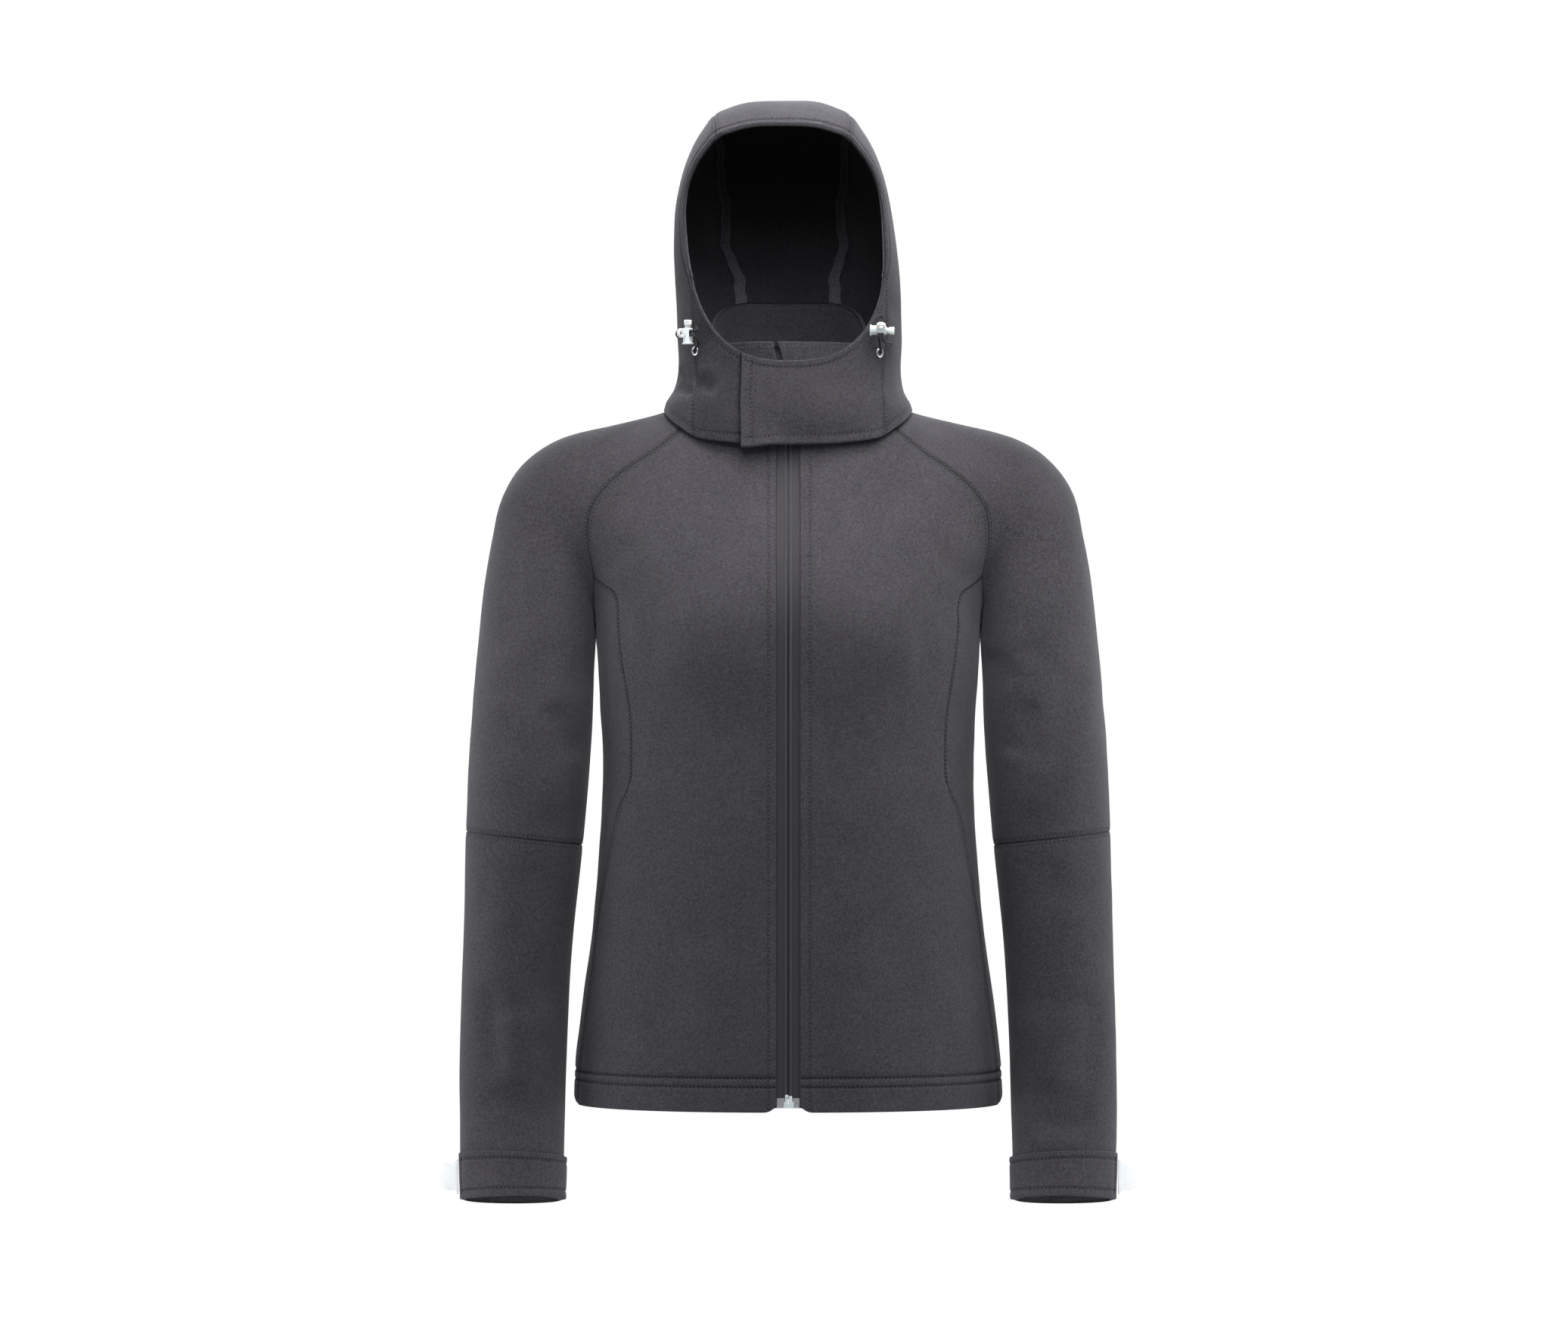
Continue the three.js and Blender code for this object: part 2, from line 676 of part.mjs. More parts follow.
// Back of the body in one piece, from one back panel seam to the other.
function backPanel() {
  const seam = [...princessBack].reverse().concat(raglanBack.slice(0, BRANCH + 1).reverse());
  const opposite = seam.map((p) => vec(-p.x, p.y, p.z));
  const top = spread(BACK_COLUMNS).map((share) => {
    const degrees = lerp(RAGLAN_NECK.back, 360 - RAGLAN_NECK.back, share);
    return neckline(degrees);
  });
  top[0] = seam.at(-1);
  top[BACK_COLUMNS] = opposite.at(-1);
  const hem = spread(BACK_COLUMNS).map((share) =>
    fromBack(bodyForm, lerp(PRINCESS_BACK.at(-1).x, -PRINCESS_BACK.at(-1).x, share), HEM_Z),
  );
  hem[0] = seam[0];
  hem[BACK_COLUMNS] = opposite[0];
  const grid = between(seam, opposite, hem, top);
  return cloth(bodyForm, onForm(bodyForm, grid), ["top", "left", "right"]);
}

// One ring of the arm at a height, from the inside round the front, in the given columns.
const ARM_COLUMNS = 16;
function armRing(z, slope, columns) {
  const at = armSamples.reduce((a, b) => (Math.abs(b.z - z) < Math.abs(a.z - z) ? b : a));
  return spread(columns).map((share) => {
    const turn = share * 2 * Math.PI;
    const back = -at.depth * Math.sin(turn);
    const side = -at.half * Math.cos(turn);
    const level = z + slope.across * (side / at.half) - slope.deep * back;
    const near = armSamples.reduce((a, b) => (Math.abs(b.z - level) < Math.abs(a.z - level) ? b : a));
    return settle(armForm, vec(near.x + side, near.mid + back, level));
  });
}

// A row of the raglan part of the sleeve: from the front seam over the arm to the back seam.
function raglanRow(share, front, back) {
  const over = line(OVERARM);
  const top = vec(over(share, "x"), lerp(2, 7, share), over(share, "z"));
  const middle = front.clone().add(back).multiplyScalar(0.25).addScaledVector(top, 0.5);
  const out = top.clone().sub(middle).setComponent(1, 0);
  const half = Math.max(out.length(), 1e-3);
  out.normalize();
  const depth = lerp(34, 67, Math.min(share * 1.6, 1));
  const angle = (p) =>
    Math.atan2(Math.abs(p.y - middle.y) / depth, middle.clone().sub(p).dot(out) / half);
  const [first, last] = [angle(front), 2 * Math.PI - angle(back)];
  const at = (turn) =>
    middle
      .clone()
      .addScaledVector(out, -half * Math.cos(turn))
      .add(vec(0, -depth * Math.sin(turn), 0));
  const [slipFront, slipBack] = [front.clone().sub(at(first)), back.clone().sub(at(last))];
  const settled = spread(ARM_COLUMNS * 2).map((s) => {
    if (s === 0) return front;
    if (s === 1) return back;
    const p = at(lerp(first, last, s));
    p.addScaledVector(slipFront, (1 - s) ** 3).addScaledVector(slipBack, s ** 3);
    return settle(bodyForm, p);
  });
  return evened(settled, ARM_COLUMNS).map((p, i) =>
    i === 0 || i === ARM_COLUMNS ? p : settle(bodyForm, p),
  );
}

// The same run of points with even steps along its length.
function evened(points, steps) {
  const lengths = [0];
  for (let i = 1; i < points.length; i += 1)
    lengths.push(lengths[i - 1] + points[i].distanceTo(points[i - 1]));
  const total = lengths[lengths.length - 1];
  return spread(steps).map((share) => {
    let i = 0;
    while (i < points.length - 2 && lengths[i + 1] < share * total) i += 1;
    const t = (share * total - lengths[i]) / (lengths[i + 1] - lengths[i]);
    return points[i].clone().lerp(points[i + 1], Math.min(Math.max(t, 0), 1));
  });
}

// Upper sleeve, from the neckline over the shoulder to the elbow seam.
const elbowMiddle = (ELBOW.outerZ + ELBOW.innerZ) / 2;
const elbowSlope = { across: (ELBOW.outerZ - ELBOW.innerZ) / 2, deep: 0.02 };
function upperSleeve() {
  const last = raglanFront.length - 1;
  const rows = raglanFront.map((p, j) => raglanRow(j / last, p, raglanBack[j]));
  const below = 6;
  for (let j = 1; j <= below; j += 1) {
    const share = j / below;
    const slope = { across: elbowSlope.across * share, deep: elbowSlope.deep * share };
    const z = lerp(UNDERARM.z, elbowMiddle, share);
    const ring = armRing(z, slope, ARM_COLUMNS);
    rows.push(evened(ring, ARM_COLUMNS).map((p) => settle(armForm, p)));
  }
  const drawn = drawIn(armForm, rows, ["top"]);
  const pulled = drawRaglan(drawn, last);
  const normals = formNormals(bodyForm, pulled);
  return wall(pulled, normals, CLOTH, { joined: (j) => j >= last });
}

// Draws the neck and raglan edges of the upper sleeve in, and its tube part not at all.
function drawRaglan(grid, last) {
  const open = grid.slice(0, last + 1);
  const drawn = drawIn(bodyForm, open, ["bottom", "left", "right"]);
  const tip = open[last][0].clone().lerp(grid[last + 1][0], 0);
  const down = grid[last + 1][0].clone().sub(tip).setLength(SEAM_GAP / 2);
  drawn[last] = open[last].map((p) => p.clone());
  drawn[last][0] = tip.clone().add(down);
  drawn[last][ARM_COLUMNS] = drawn[last][0];
  return drawn.concat(grid.slice(last + 1));
}

// Lower sleeve, from the elbow seam to the cuff edge.
function lowerSleeve() {
  const steps = 8;
  const rows = spread(steps).map((share) => {
    const slope = {
      across: elbowSlope.across * (1 - share),
      deep: lerp(elbowSlope.deep, CUFF.slope, share),
    };
    const ring = armRing(lerp(elbowMiddle, CUFF.z, share), slope, ARM_COLUMNS);
    return evened(ring, ARM_COLUMNS).map((p) => settle(armForm, p));
  });
  const drawn = drawIn(armForm, rows, ["bottom"]);
  return wall(drawn, formNormals(armForm, drawn), CLOTH, { joined: () => true });
}

// Cuff strap, made from the sleeve's own surface and moved out.
function strapPoint(share, up) {
  const turn = lerp(STRAP.from, STRAP.to, share);
  const z = CUFF.z + STRAP.tall * up + 0.6;
  const at = armSamples.reduce((a, b) => (Math.abs(b.z - z) < Math.abs(a.z - z) ? b : a));
  const back = -at.depth * Math.sin(turn);
  const guess = vec(at.x - at.half * Math.cos(turn), at.mid + back, z - CUFF.slope * back);
  return settle(armForm, guess);
}
function cuffStrap() {
  const grid = spread(2).map((up) => spread(14).map((share) => strapPoint(share, up)));
  const lift = () => CLOTH + STRAP.off;
  return wall(grid, formNormals(armForm, grid), CLOTH, { lift });
}

// Moulded grip on the strap's end: a rounded plate that stands out to the side.
function cuffGrip() {
  const root = strapPoint(1, 0.5);
  const normal = slopeOf(armForm, root).normalize();
  const tip = strapPoint(0.97, 0.5);
  const along = root.clone().sub(tip).setComponent(2, 0).normalize();
  const start = root.clone().addScaledVector(normal, CLOTH / 2 + STRAP.off);
  const out = along.clone().lerp(vec(1, 0, 0), 0.75).normalize();
  const shape = new THREE.Shape();
  const [half, tipHalf, r] = [GRIP.tall / 2, GRIP.tipTall / 2, GRIP.corner];
  shape.moveTo(GRIP.tuck, -half);
  shape.lineTo(GRIP.out * 0.3, -tipHalf);
  shape.lineTo(GRIP.out - r, -tipHalf);
  shape.absarc(GRIP.out - r, -tipHalf + r, r, -Math.PI / 2, 0);
  shape.absarc(GRIP.out - r, tipHalf - r, r, 0, Math.PI / 2);
  shape.lineTo(GRIP.out * 0.3, tipHalf);
  shape.lineTo(GRIP.tuck, half);
  const plate = new THREE.ExtrudeGeometry(shape, {
    depth: GRIP.thick,
    bevelEnabled: false,
    curveSegments: 5,
  });
  plate.translate(0, 0, -GRIP.thick / 2);
  const lean = vec(0, 0, 1);
  const facing = out.clone().cross(lean).normalize();
  plate.applyMatrix4(new THREE.Matrix4().makeBasis(out, lean, facing));
  return welded(plate.translate(start.x, start.y, start.z));
}

// The face opening's edge at a height or at a half width, seen from the front.
function faceX(z) {
  const [reach, square] = z > FACE.midZ ? [FACE.up, FACE.upSquare] : [FACE.down, FACE.downSquare];
  const ratio = Math.min(Math.abs(z - FACE.midZ) / reach, 1);
  return FACE.half * (1 - ratio ** square) ** (1 / square);
}
function faceZ(x, upper) {
  const [reach, square] = upper ? [FACE.up, FACE.upSquare] : [FACE.down, FACE.downSquare];
  const drop = (1 - Math.min(Math.abs(x) / FACE.half, 1) ** square) ** (1 / square);
  return FACE.midZ + (upper ? reach : -reach) * drop;
}
const faceAt = (x, z) => fromFront(hoodForm, x, z);

// The hood's lower edge: free in front, resting on the shoulders at the sides and back.
function skirtPoint(degrees) {
  const turn = THREE.MathUtils.degToRad(degrees);
  const ray = vec(Math.sin(turn), -Math.cos(turn), 0);
  const x = Math.abs(HOOD_SKIRT.half * Math.sin(turn)) / HOOD_SKIRT.half;
  const front = -HOOD_SKIRT.drop * (1 - x ** HOOD_SKIRT.square) ** (1 / HOOD_SKIRT.square);
  let z = Math.cos(turn) > 0 ? front : 0;
  for (let round = 0; round < 12; round += 1) {
    const heart = vec(0, 0, z);
    const p = meet(hoodForm, ray.clone().multiplyScalar(REACH).add(heart), heart);
    const rest = HOOD_SKIRT.clear + Math.max(...HOOD_SKIRT.probes.map((probe) =>
      seatHeight(p.clone().addScaledVector(ray, probe.inward).applyAxisAngle(UP, probe.turn)),
    ));
    const wanted = Math.cos(turn) > 0 ? Math.max(front, rest) : rest;
    z = (z + wanted) / 2;
  }
  const heart = vec(0, 0, z);
  return meet(hoodForm, ray.multiplyScalar(REACH).add(heart), heart);
}
const seatHeight = (p) => fromAbove(bodyForm, p.x, p.y).z;

const chinLine = CHIN_SEAM.map((row) => fromFront(hoodForm, row.x, row.z));
const chinDegrees = THREE.MathUtils.radToDeg(Math.atan2(chinLine[0].x, -chinLine[0].y));
chinLine[0] = skirtPoint(chinDegrees);
chinLine.push(faceAt(faceX(CHEEK_Z), CHEEK_Z));

// The strip seam of the hood, from the brow over the crown to the nape.
const BROW_HALF = HOOD_STRIP[0].half;
const NAPE_DEGREES = 180 - 31;
const STRIP_STEPS = 12;
const heart = vec(0, HOOD_HEART.y, HOOD_HEART.z);
const stripSeam = spread(STRIP_STEPS).map((t) => {
  const brow = faceAt(BROW_HALF, faceZ(BROW_HALF, true));
  const nape = skirtPoint(NAPE_DEGREES);
  if (t === 0) return brow;
  if (t === 1) return nape;
  const [from, to] = [brow, nape].map((p) => Math.atan2(p.z - heart.z, -(p.y - heart.y)));
  const turn = lerp(from, to + 2 * Math.PI, t);
  const x = read(HOOD_STRIP, "t", "half", t);
  const ray = vec(0, -Math.cos(turn), Math.sin(turn));
  const middle = vec(x, heart.y, heart.z);
  return meet(hoodForm, ray.multiplyScalar(REACH).add(middle), middle);
});

// Centre strip of the hood.
function hoodStrip() {
  const columns = 8;
  const opposite = stripSeam.map((p) => vec(-p.x, p.y, p.z));
  const brow = spread(columns).map((share) => {
    const x = lerp(BROW_HALF, -BROW_HALF, share);
    return faceAt(x, faceZ(x, true));
  });
  const nape = spread(columns).map((share) =>
    skirtPoint(lerp(NAPE_DEGREES, 360 - NAPE_DEGREES, share)),
  );
  const grid = between(stripSeam, opposite, brow, nape);
  return cloth(hoodForm, onForm(hoodForm, grid, heart), ["left", "right"]);
}

// Side of the hood, between the strip seam, the face edge, the chin seam and the skirt.
function hoodSide() {
  const columns = 10;
  const cheek = chinLine.at(-1);
  const face = evenedOn(
    spread(columns * 3).map((share) => {
      const brow = stripSeam[0];
      const z = lerp(cheek.z, brow.z, share);
      return share === 1 ? brow : faceAt(faceX(z), z);
    }),
    columns,
  );
  const chin = evenedOn([...chinLine].reverse(), STRIP_STEPS, CHIN_STEPS);
  const skirt = spread(columns).map((share) => skirtPoint(lerp(chinDegrees, NAPE_DEGREES, share)));
  const grid = between(chin, stripSeam, face, skirt);
  return cloth(hoodForm, onForm(hoodForm, grid, heart), ["left", "right"]);
}
const CHIN_STEPS = STRIP_STEPS;
function evenedOn(points, steps) {
  return evened(points, steps).map((p, i) =>
    i === 0 || i === steps ? p : settle(hoodForm, p),
  );
}

// A chin piece of the hood from the chin seam to its free end at x = tip.
function chinPiece(tip, columns) {
  const seam = evenedOn(chinLine, CHIN_STEPS);
  const bottom = spread(columns).map((share) => {
    const tipDegrees = THREE.MathUtils.radToDeg(Math.atan2(tip, HOOD[1].front));
    return skirtPoint(lerp(chinDegrees, tipDegrees, share));
  });
  const top = evenedOn(
    spread(columns * 3).map((share) => {
      const x = lerp(seam.at(-1).x, tip, share);
      return share === 0 ? seam.at(-1) : faceAt(x, faceZ(x, false));
    }),
    columns,
  );
  const end = seam.map((_, j) => {
    const p = bottom.at(-1).clone().lerp(top.at(-1), j / (seam.length - 1));
    return j === 0 || j === seam.length - 1 ? p : settle(hoodForm, p);
  });
  return onForm(hoodForm, between(seam, end, bottom, top), heart);
}

// The chin flap lies over the underlap, and comes down to the hood's surface past it.
function chinFlap() {
  const grid = drawIn(hoodForm, chinPiece(FLAP.tip, 10), ["left"]);
  const normals = formNormals(hoodForm, grid);
  const raised = grid.map((row, j) =>
    row.map((p, i) => {
      const t = THREE.MathUtils.smoothstep(-p.x, -FLAP.settleTo, -FLAP.settleFrom);
      return p.clone().addScaledVector(normals[j][i], FLAP.rise * t);
    }),
  );
  return wall(raised, normals, CLOTH);
}
function chinUnderlap() {
  const grid = chinPiece(-UNDERLAP_TIP, 6);
  return mirrored(cloth(hoodForm, grid, ["left"]));
}

// Tape over the strip seam inside the hood, held off the cloth.
function hoodTape() {
  const rows = stripSeam.slice(1, -1).map((p) => {
    const normal = slopeOf(hoodForm, p).normalize();
    const inside = p.clone().addScaledVector(normal, -(CLOTH + HOOD_TAPE.off));
    const level = (dx) => {
      const moved = settle(hoodForm, vec(p.x + dx, p.y, p.z));
      const away = slopeOf(hoodForm, moved).normalize();
      return moved.addScaledVector(away, -(CLOTH + HOOD_TAPE.off));
    };
    return [level(-HOOD_TAPE.width / 2), inside, level(HOOD_TAPE.width / 2)];
  });
  return wall(rows, formNormals(hoodForm, rows), HOOD_TAPE.thick);
}

// Stand collar from the neckline up, open at the centre front for the zip.
function collarTop(degrees) {
  const turn = THREE.MathUtils.degToRad(degrees);
  const depth = Math.cos(turn) > 0 ? COLLAR.front : COLLAR.back;
  const z = lerp(COLLAR.frontZ, COLLAR.backZ, (1 - Math.cos(turn)) / 2);
  return vec(COLLAR.half * Math.sin(turn), -depth * Math.cos(turn), z);
}
const collarEnd = THREE.MathUtils.radToDeg(Math.asin(COLLAR.endHalf / COLLAR.half));
function collarPoint(degrees, up) {
  const base = neckline(degrees).add(vec(0, 0, SEAM_GAP + LAY_GAP));
  return base.lerp(collarTop(degrees), up);
}
function collar() {
  const grid = spread(3).map((up) =>
    spread(26).map((share) => collarPoint(lerp(collarEnd, 360 - collarEnd, share), up)),
  );
  return wall(grid, gridNormals(grid, () => vec(0, 0, 40)), COLLAR.thick);
}

// The closed front seen in depth: up the body, then up the collar, with its outward direction.
const collarFoot = collarPoint(0, 0);
function closedFront(x, z) {
  if (z < collarFoot.z) {
    const point = fromFront(bodyForm, x, z);
    return { point, normal: slopeOf(bodyForm, point).setX(0).normalize(), cloth: CLOTH };
  }
  const degrees = THREE.MathUtils.radToDeg(Math.asin(x / COLLAR.half));
  const up = (z - collarFoot.z) / (COLLAR.frontZ - collarFoot.z);
  const y = collarPoint(degrees, up).y;
  return { point: vec(x, y, z), normal: vec(0, -1, 0), cloth: COLLAR.thick + LAY_GAP };
}

// A flat strip of the zip behind the closed front.
function zipStrip(xs, deeper, thick, zs) {
  const grid = [];
  const normals = [];
  for (const z of zs) {
    const places = xs.map((x) => closedFront(x, z));
    grid.push(
      places.map(({ point, normal, cloth }) =>
        point.clone().addScaledVector(normal, -cloth - LAY_GAP - deeper),
      ),
    );
    normals.push(places.map(({ normal }) => normal));
  }
  return wall(grid, normals, thick);
}
const bodyZs = panelZs.slice(1, -1);
bodyZs.unshift(HEM_Z + TAPE.bottom);
bodyZs.push(collarFoot.z - 2);
const collarZs = spread(3).map((share) => lerp(collarFoot.z + 1, TAPE.top, share));
const chainZs = [...bodyZs, collarFoot.z + 1, SLIDER.z - SLIDER.tall / 2 - 1];
chainZs[0] = HEM_Z + TAPE.bottom + ZIP_BOX.tall + 2;

const { Manifold, Mesh: SolidMesh } = await solids();
async function solids() {
  const wasm = await Module();
  wasm.setup();
  return wasm;
}

// One closed geometry from overlapping ones, less what is cut away.
function carve(parts, cuts = []) {
  const solid = (geometry) => {
    const joined = welded(geometry);
    return new Manifold(
      new SolidMesh({
        numProp: 3,
        vertProperties: new Float32Array(joined.getAttribute("position").array),
        triVerts: new Uint32Array(joined.getIndex().array),
      }),
    );
  };
  const whole = Manifold.union(parts.map(solid));
  const kept = cuts.length ? whole.subtract(Manifold.union(cuts.map(solid))) : whole;
  const mesh = kept.getMesh();
  const geometry = new THREE.BufferGeometry();
  geometry.setAttribute("position", new THREE.Float32BufferAttribute(mesh.vertProperties, 3));
  geometry.setIndex([...mesh.triVerts]);
  return geometry;
}

const block = (wide, deep, tall, x = 0, y = 0, z = 0) =>
  new THREE.BoxGeometry(wide, deep, tall).translate(x, y, z);
const rod = (radius, from, to, sides = 12) =>
  new THREE.CylinderGeometry(radius, radius, to - from, sides)
    .rotateX(Math.PI / 2)
    .translate(0, 0, (from + to) / 2);

// Slider round the top of the chain: plates before and behind the tapes, a neck between
// them, and a bridge that the pull's bar hangs in.
const slideSeat = closedFront(0, SLIDER.z);
const tapeFront = slideSeat.point.y + slideSeat.cloth + LAY_GAP;
const tapeBack = tapeFront + TAPE.thick;
const frontPlate = tapeFront - SLIDER.off - SLIDER.thick / 2;
const backPlate = tapeBack + SLIDER.off + SLIDER.thick / 2;
const bridgeFoot = frontPlate - SLIDER.thick / 2;
function slider() {
  const [z, tall] = [SLIDER.z, SLIDER.tall];
  const out = BRIDGE.room + BRIDGE.bar;
  return carve(
    [
      block(SLIDER.wide, SLIDER.thick, tall, 0, frontPlate, z),
      block(SLIDER.wide, SLIDER.thick, tall, 0, backPlate, z),
      block(SLIDER.neck, backPlate - frontPlate, tall * 0.6, 0, (frontPlate + backPlate) / 2, z),
      block(BRIDGE.wide, out, BRIDGE.tall, 0, bridgeFoot - out / 2, z),
    ],
    [block(BRIDGE.wide * 2, BRIDGE.room, BRIDGE.tall - 2 * BRIDGE.bar, 0, bridgeFoot - BRIDGE.room / 2, z)],
  );
}

// Pull tab: a bar through the bridge, two cheeks beside it and a flat grip below.
const pullAxis = { y: bridgeFoot - BRIDGE.room / 2, z: SLIDER.z };
function pullTab() {
  const { wide, tall, thick, bar, drop } = PULL;
  return carve([
    block(wide, bar, bar, 0, pullAxis.y, pullAxis.z),
    block((wide - PULL.room) / 2, thick, drop, -(wide + PULL.room) / 4, pullAxis.y, pullAxis.z - drop / 2 + bar / 2),
    block((wide - PULL.room) / 2, thick, drop, (wide + PULL.room) / 4, pullAxis.y, pullAxis.z - drop / 2 + bar / 2),
    block(wide, thick, tall - drop, 0, pullAxis.y, pullAxis.z - drop / 2 - tall / 2 + bar / 2),
  ]);
}

function zipBox() {
  const z = HEM_Z + TAPE.bottom + ZIP_BOX.tall / 2;
  const seat = fromFront(bodyForm, 0, z).y + CLOTH;
  return block(ZIP_BOX.wide, ZIP_BOX.thick, ZIP_BOX.tall, 0, seat - ZIP_BOX.thick / 2, z);
}

// Cord lock: a barrel with a cross hole, a side lug and a spring plunger with the same hole.
// Its own axes: z along the barrel, y along the cord, the lug towards -x.
function lockBody() {
  const bodyRod = rod(LOCK.radius, LOCK.foot, LOCK.rim);
  const lug = rod(LOCK.lug, -LOCK.lugThick / 2, LOCK.lugThick / 2)
    .rotateX(Math.PI / 2)
    .translate(-LOCK.lugOut, 0, 0);
  const lugHole = rod(LOCK.lugHole, -LOCK.lugThick, LOCK.lugThick)
    .rotateX(Math.PI / 2)
    .translate(-LOCK.lugOut - 0.6, 0, 0);
  const flange = rod(LOCK.radius + 0.9, LOCK.foot, LOCK.foot + 1.2);
  return carve(
    [bodyRod, lug, flange],
    [
      rod(LOCK.bore, LOCK.floor, LOCK.rim + 5),
      block(LOCK.slotWide, 30, LOCK.slotTall),
      lugHole,
    ],
  );
}
function lockPlunger() {
  const stem = rod(LOCK.bore - LOCK.play, LOCK.floor + LOCK.travel + LAY_GAP, LOCK.cap);
  const cap = rod(LOCK.capRadius, LOCK.rim + LOCK.travel + LAY_GAP, LOCK.cap);
  const hole = block(LOCK.slotWide, 30, LOCK.slotTall + LOCK.travel, 0, 0, LOCK.travel / 2);
  return carve([stem, cap], [hole]);
}

// Where each lock sits: barrel axis, cord direction and centre, as seen in use.
const lockPlaces = {
  right: {
    at: vec(-89, -66, 60),
    barrel: vec(0, 0, 1),
    cord: vec(-0.62, 0.78, 0),
    sag: vec(4.5, -4, 1.5),
    loopUp: true,
  },
  left: {
    at: vec(82, -77.5, 62),
    barrel: vec(1, 0, -0.03),
    cord: vec(0, 0.5, 0.866),
    sag: vec(0, -2, 0),
    loopUp: true,
  },
};
function lockMatrix({ at, barrel, cord }) {
  const z = barrel.clone().normalize();
  const y = cord.clone().addScaledVector(z, -cord.dot(z)).normalize();
  const x = y.clone().cross(z);
  return new THREE.Matrix4().makeBasis(x, y, z).setPosition(at);
}

// A round cord along a smooth curve through points.
function cordTube(points) {
  const section = new THREE.Shape();
  section.absarc(0, 0, CORD.radius, 0, 2 * Math.PI);
  const extrudePath = new THREE.CatmullRomCurve3(points, false, "centripetal");
  const options = { steps: CORD.steps, curveSegments: CORD.sides / 2, bevelEnabled: false, extrudePath };
  return welded(new THREE.ExtrudeGeometry(section, options));
}

// The cord leaves the eyelet, passes the lock, turns round beyond it and comes back
// through the lock to the edge of the face opening.
function drawcord(place, eyeletAt, edgeAt) {
  const matrix = lockMatrix(place);
  const local = (x, y, z) => vec(x, y, z).applyMatrix4(matrix);
  const lane = LOCK.lane;
  const near = -LOCK.radius - 2.5;
  const far = LOCK.radius + 1.5;
  const [first, second] = place.loopUp ? [-lane, lane] : [lane, -lane];
  return cordTube([
    eyeletAt,
    eyeletAt.clone().lerp(local(0, near, first), 0.5).addScaledVector(place.sag, 1),
    local(0, near, first),
    local(0, 0, first),
    local(0, far, first),
    local(-1, far + 4.5, first * 1.6),
    local(-2, far + 7.5, 0),
    local(-1, far + 4.5, second * 1.6),
    local(0, far, second),
    local(0, 0, second),
    local(0, near, second),
    local(0, near, second).lerp(edgeAt, 0.6),
    edgeAt,
  ]);
}

// Eyelet washer on the hood beside its lock.
function eyeletRing(at) {
  const ring = carve([rod(EYELET.outer, 0, EYELET.thick, 16)], [rod(EYELET.hole, -1, EYELET.thick + 1)]);
  const normal = slopeOf(hoodForm, at).normalize();
  const turn = new THREE.Quaternion().setFromUnitVectors(UP, normal);
  const lifted = at.clone().addScaledVector(normal, EYELET.off);
  return ring.applyMatrix4(new THREE.Matrix4().compose(lifted, turn, vec(1, 1, 1)));
}

// The hood leans a little to the wearer's right as it goes up.
function leaned(geometry) {
  const position = geometry.getAttribute("position");
  for (let i = 0; i < position.count; i += 1)
    position.setX(i, position.getX(i) + read(HOOD_LEAN, "z", "x", position.getZ(i)));
  return geometry;
}
const leanedAt = (p) => p.clone().add(vec(read(HOOD_LEAN, "z", "x", p.z), 0, 0));

addPair("front", frontPanel(), COLOURS.cloth);
addPair("side", sidePanel(), COLOURS.cloth);
add("back", backPanel(), COLOURS.cloth);
addPair("sleeve_upper", upperSleeve(), COLOURS.cloth);
addPair("sleeve_lower", lowerSleeve(), COLOURS.cloth);
addPair("cuff_strap", cuffStrap(), COLOURS.cloth);
addPair("cuff_grip", cuffGrip(), COLOURS.clear);
add("collar", collar(), COLOURS.cloth);
add("hood_strip", leaned(hoodStrip()), COLOURS.cloth);
const side = hoodSide();
add("hood_side_left", leaned(side.clone()), COLOURS.cloth);
add("hood_side_right", leaned(mirrored(side)), COLOURS.cloth);
add("chin_flap", leaned(chinFlap()), COLOURS.cloth);
add("chin_underlap", leaned(chinUnderlap()), COLOURS.cloth);
const tape = hoodTape();
add("hood_tape_left", leaned(tape.clone()), COLOURS.lining);
add("hood_tape_right", leaned(mirrored(tape)), COLOURS.lining);

const tapeXs = [TAPE.inner, TAPE.out];
addPair("zip_tape", zipStrip(tapeXs, 0, TAPE.thick, [...bodyZs, ...collarZs]), COLOURS.tape);
const behind = TAPE.thick + LAY_GAP;
add("zip_chain", zipStrip([-CHAIN.half, CHAIN.half], behind, CHAIN.thick, chainZs), COLOURS.tape);
add("zip_box", zipBox(), COLOURS.tape);
add("zip_slider", slider(), COLOURS.metal);
add("zip_pull", pullTab(), COLOURS.metal);

const eyeletSpots = { right: { x: -84, z: 45 }, left: { x: 79.5, z: 43 } };
const edgeSpots = { right: { x: -82, z: 66 }, left: { x: 90, z: 52 } };
const onHood = ({ x, z }, off) => {
  const p = fromFront(hoodForm, x, z);
  return leanedAt(p.addScaledVector(slopeOf(hoodForm, p).normalize(), off));
};
for (const sideName of ["right", "left"]) {
  const place = lockPlaces[sideName];
  const matrix = lockMatrix(place);
  add(`cord_lock_${sideName}`, lockBody().applyMatrix4(matrix), COLOURS.clear);
  add(`lock_plunger_${sideName}`, lockPlunger().applyMatrix4(matrix), COLOURS.clear);
  const spot = eyeletSpots[sideName];
  const seat = fromFront(hoodForm, spot.x, spot.z);
  add(`eyelet_${sideName}`, leaned(eyeletRing(seat)), COLOURS.metal);
  const start = onHood(spot, EYELET.off + EYELET.thick + 0.8);
  const end = onHood(edgeSpots[sideName], 1.6);
  add(`drawcord_${sideName}`, drawcord(place, start, end), COLOURS.cord);
}

export default jacket;
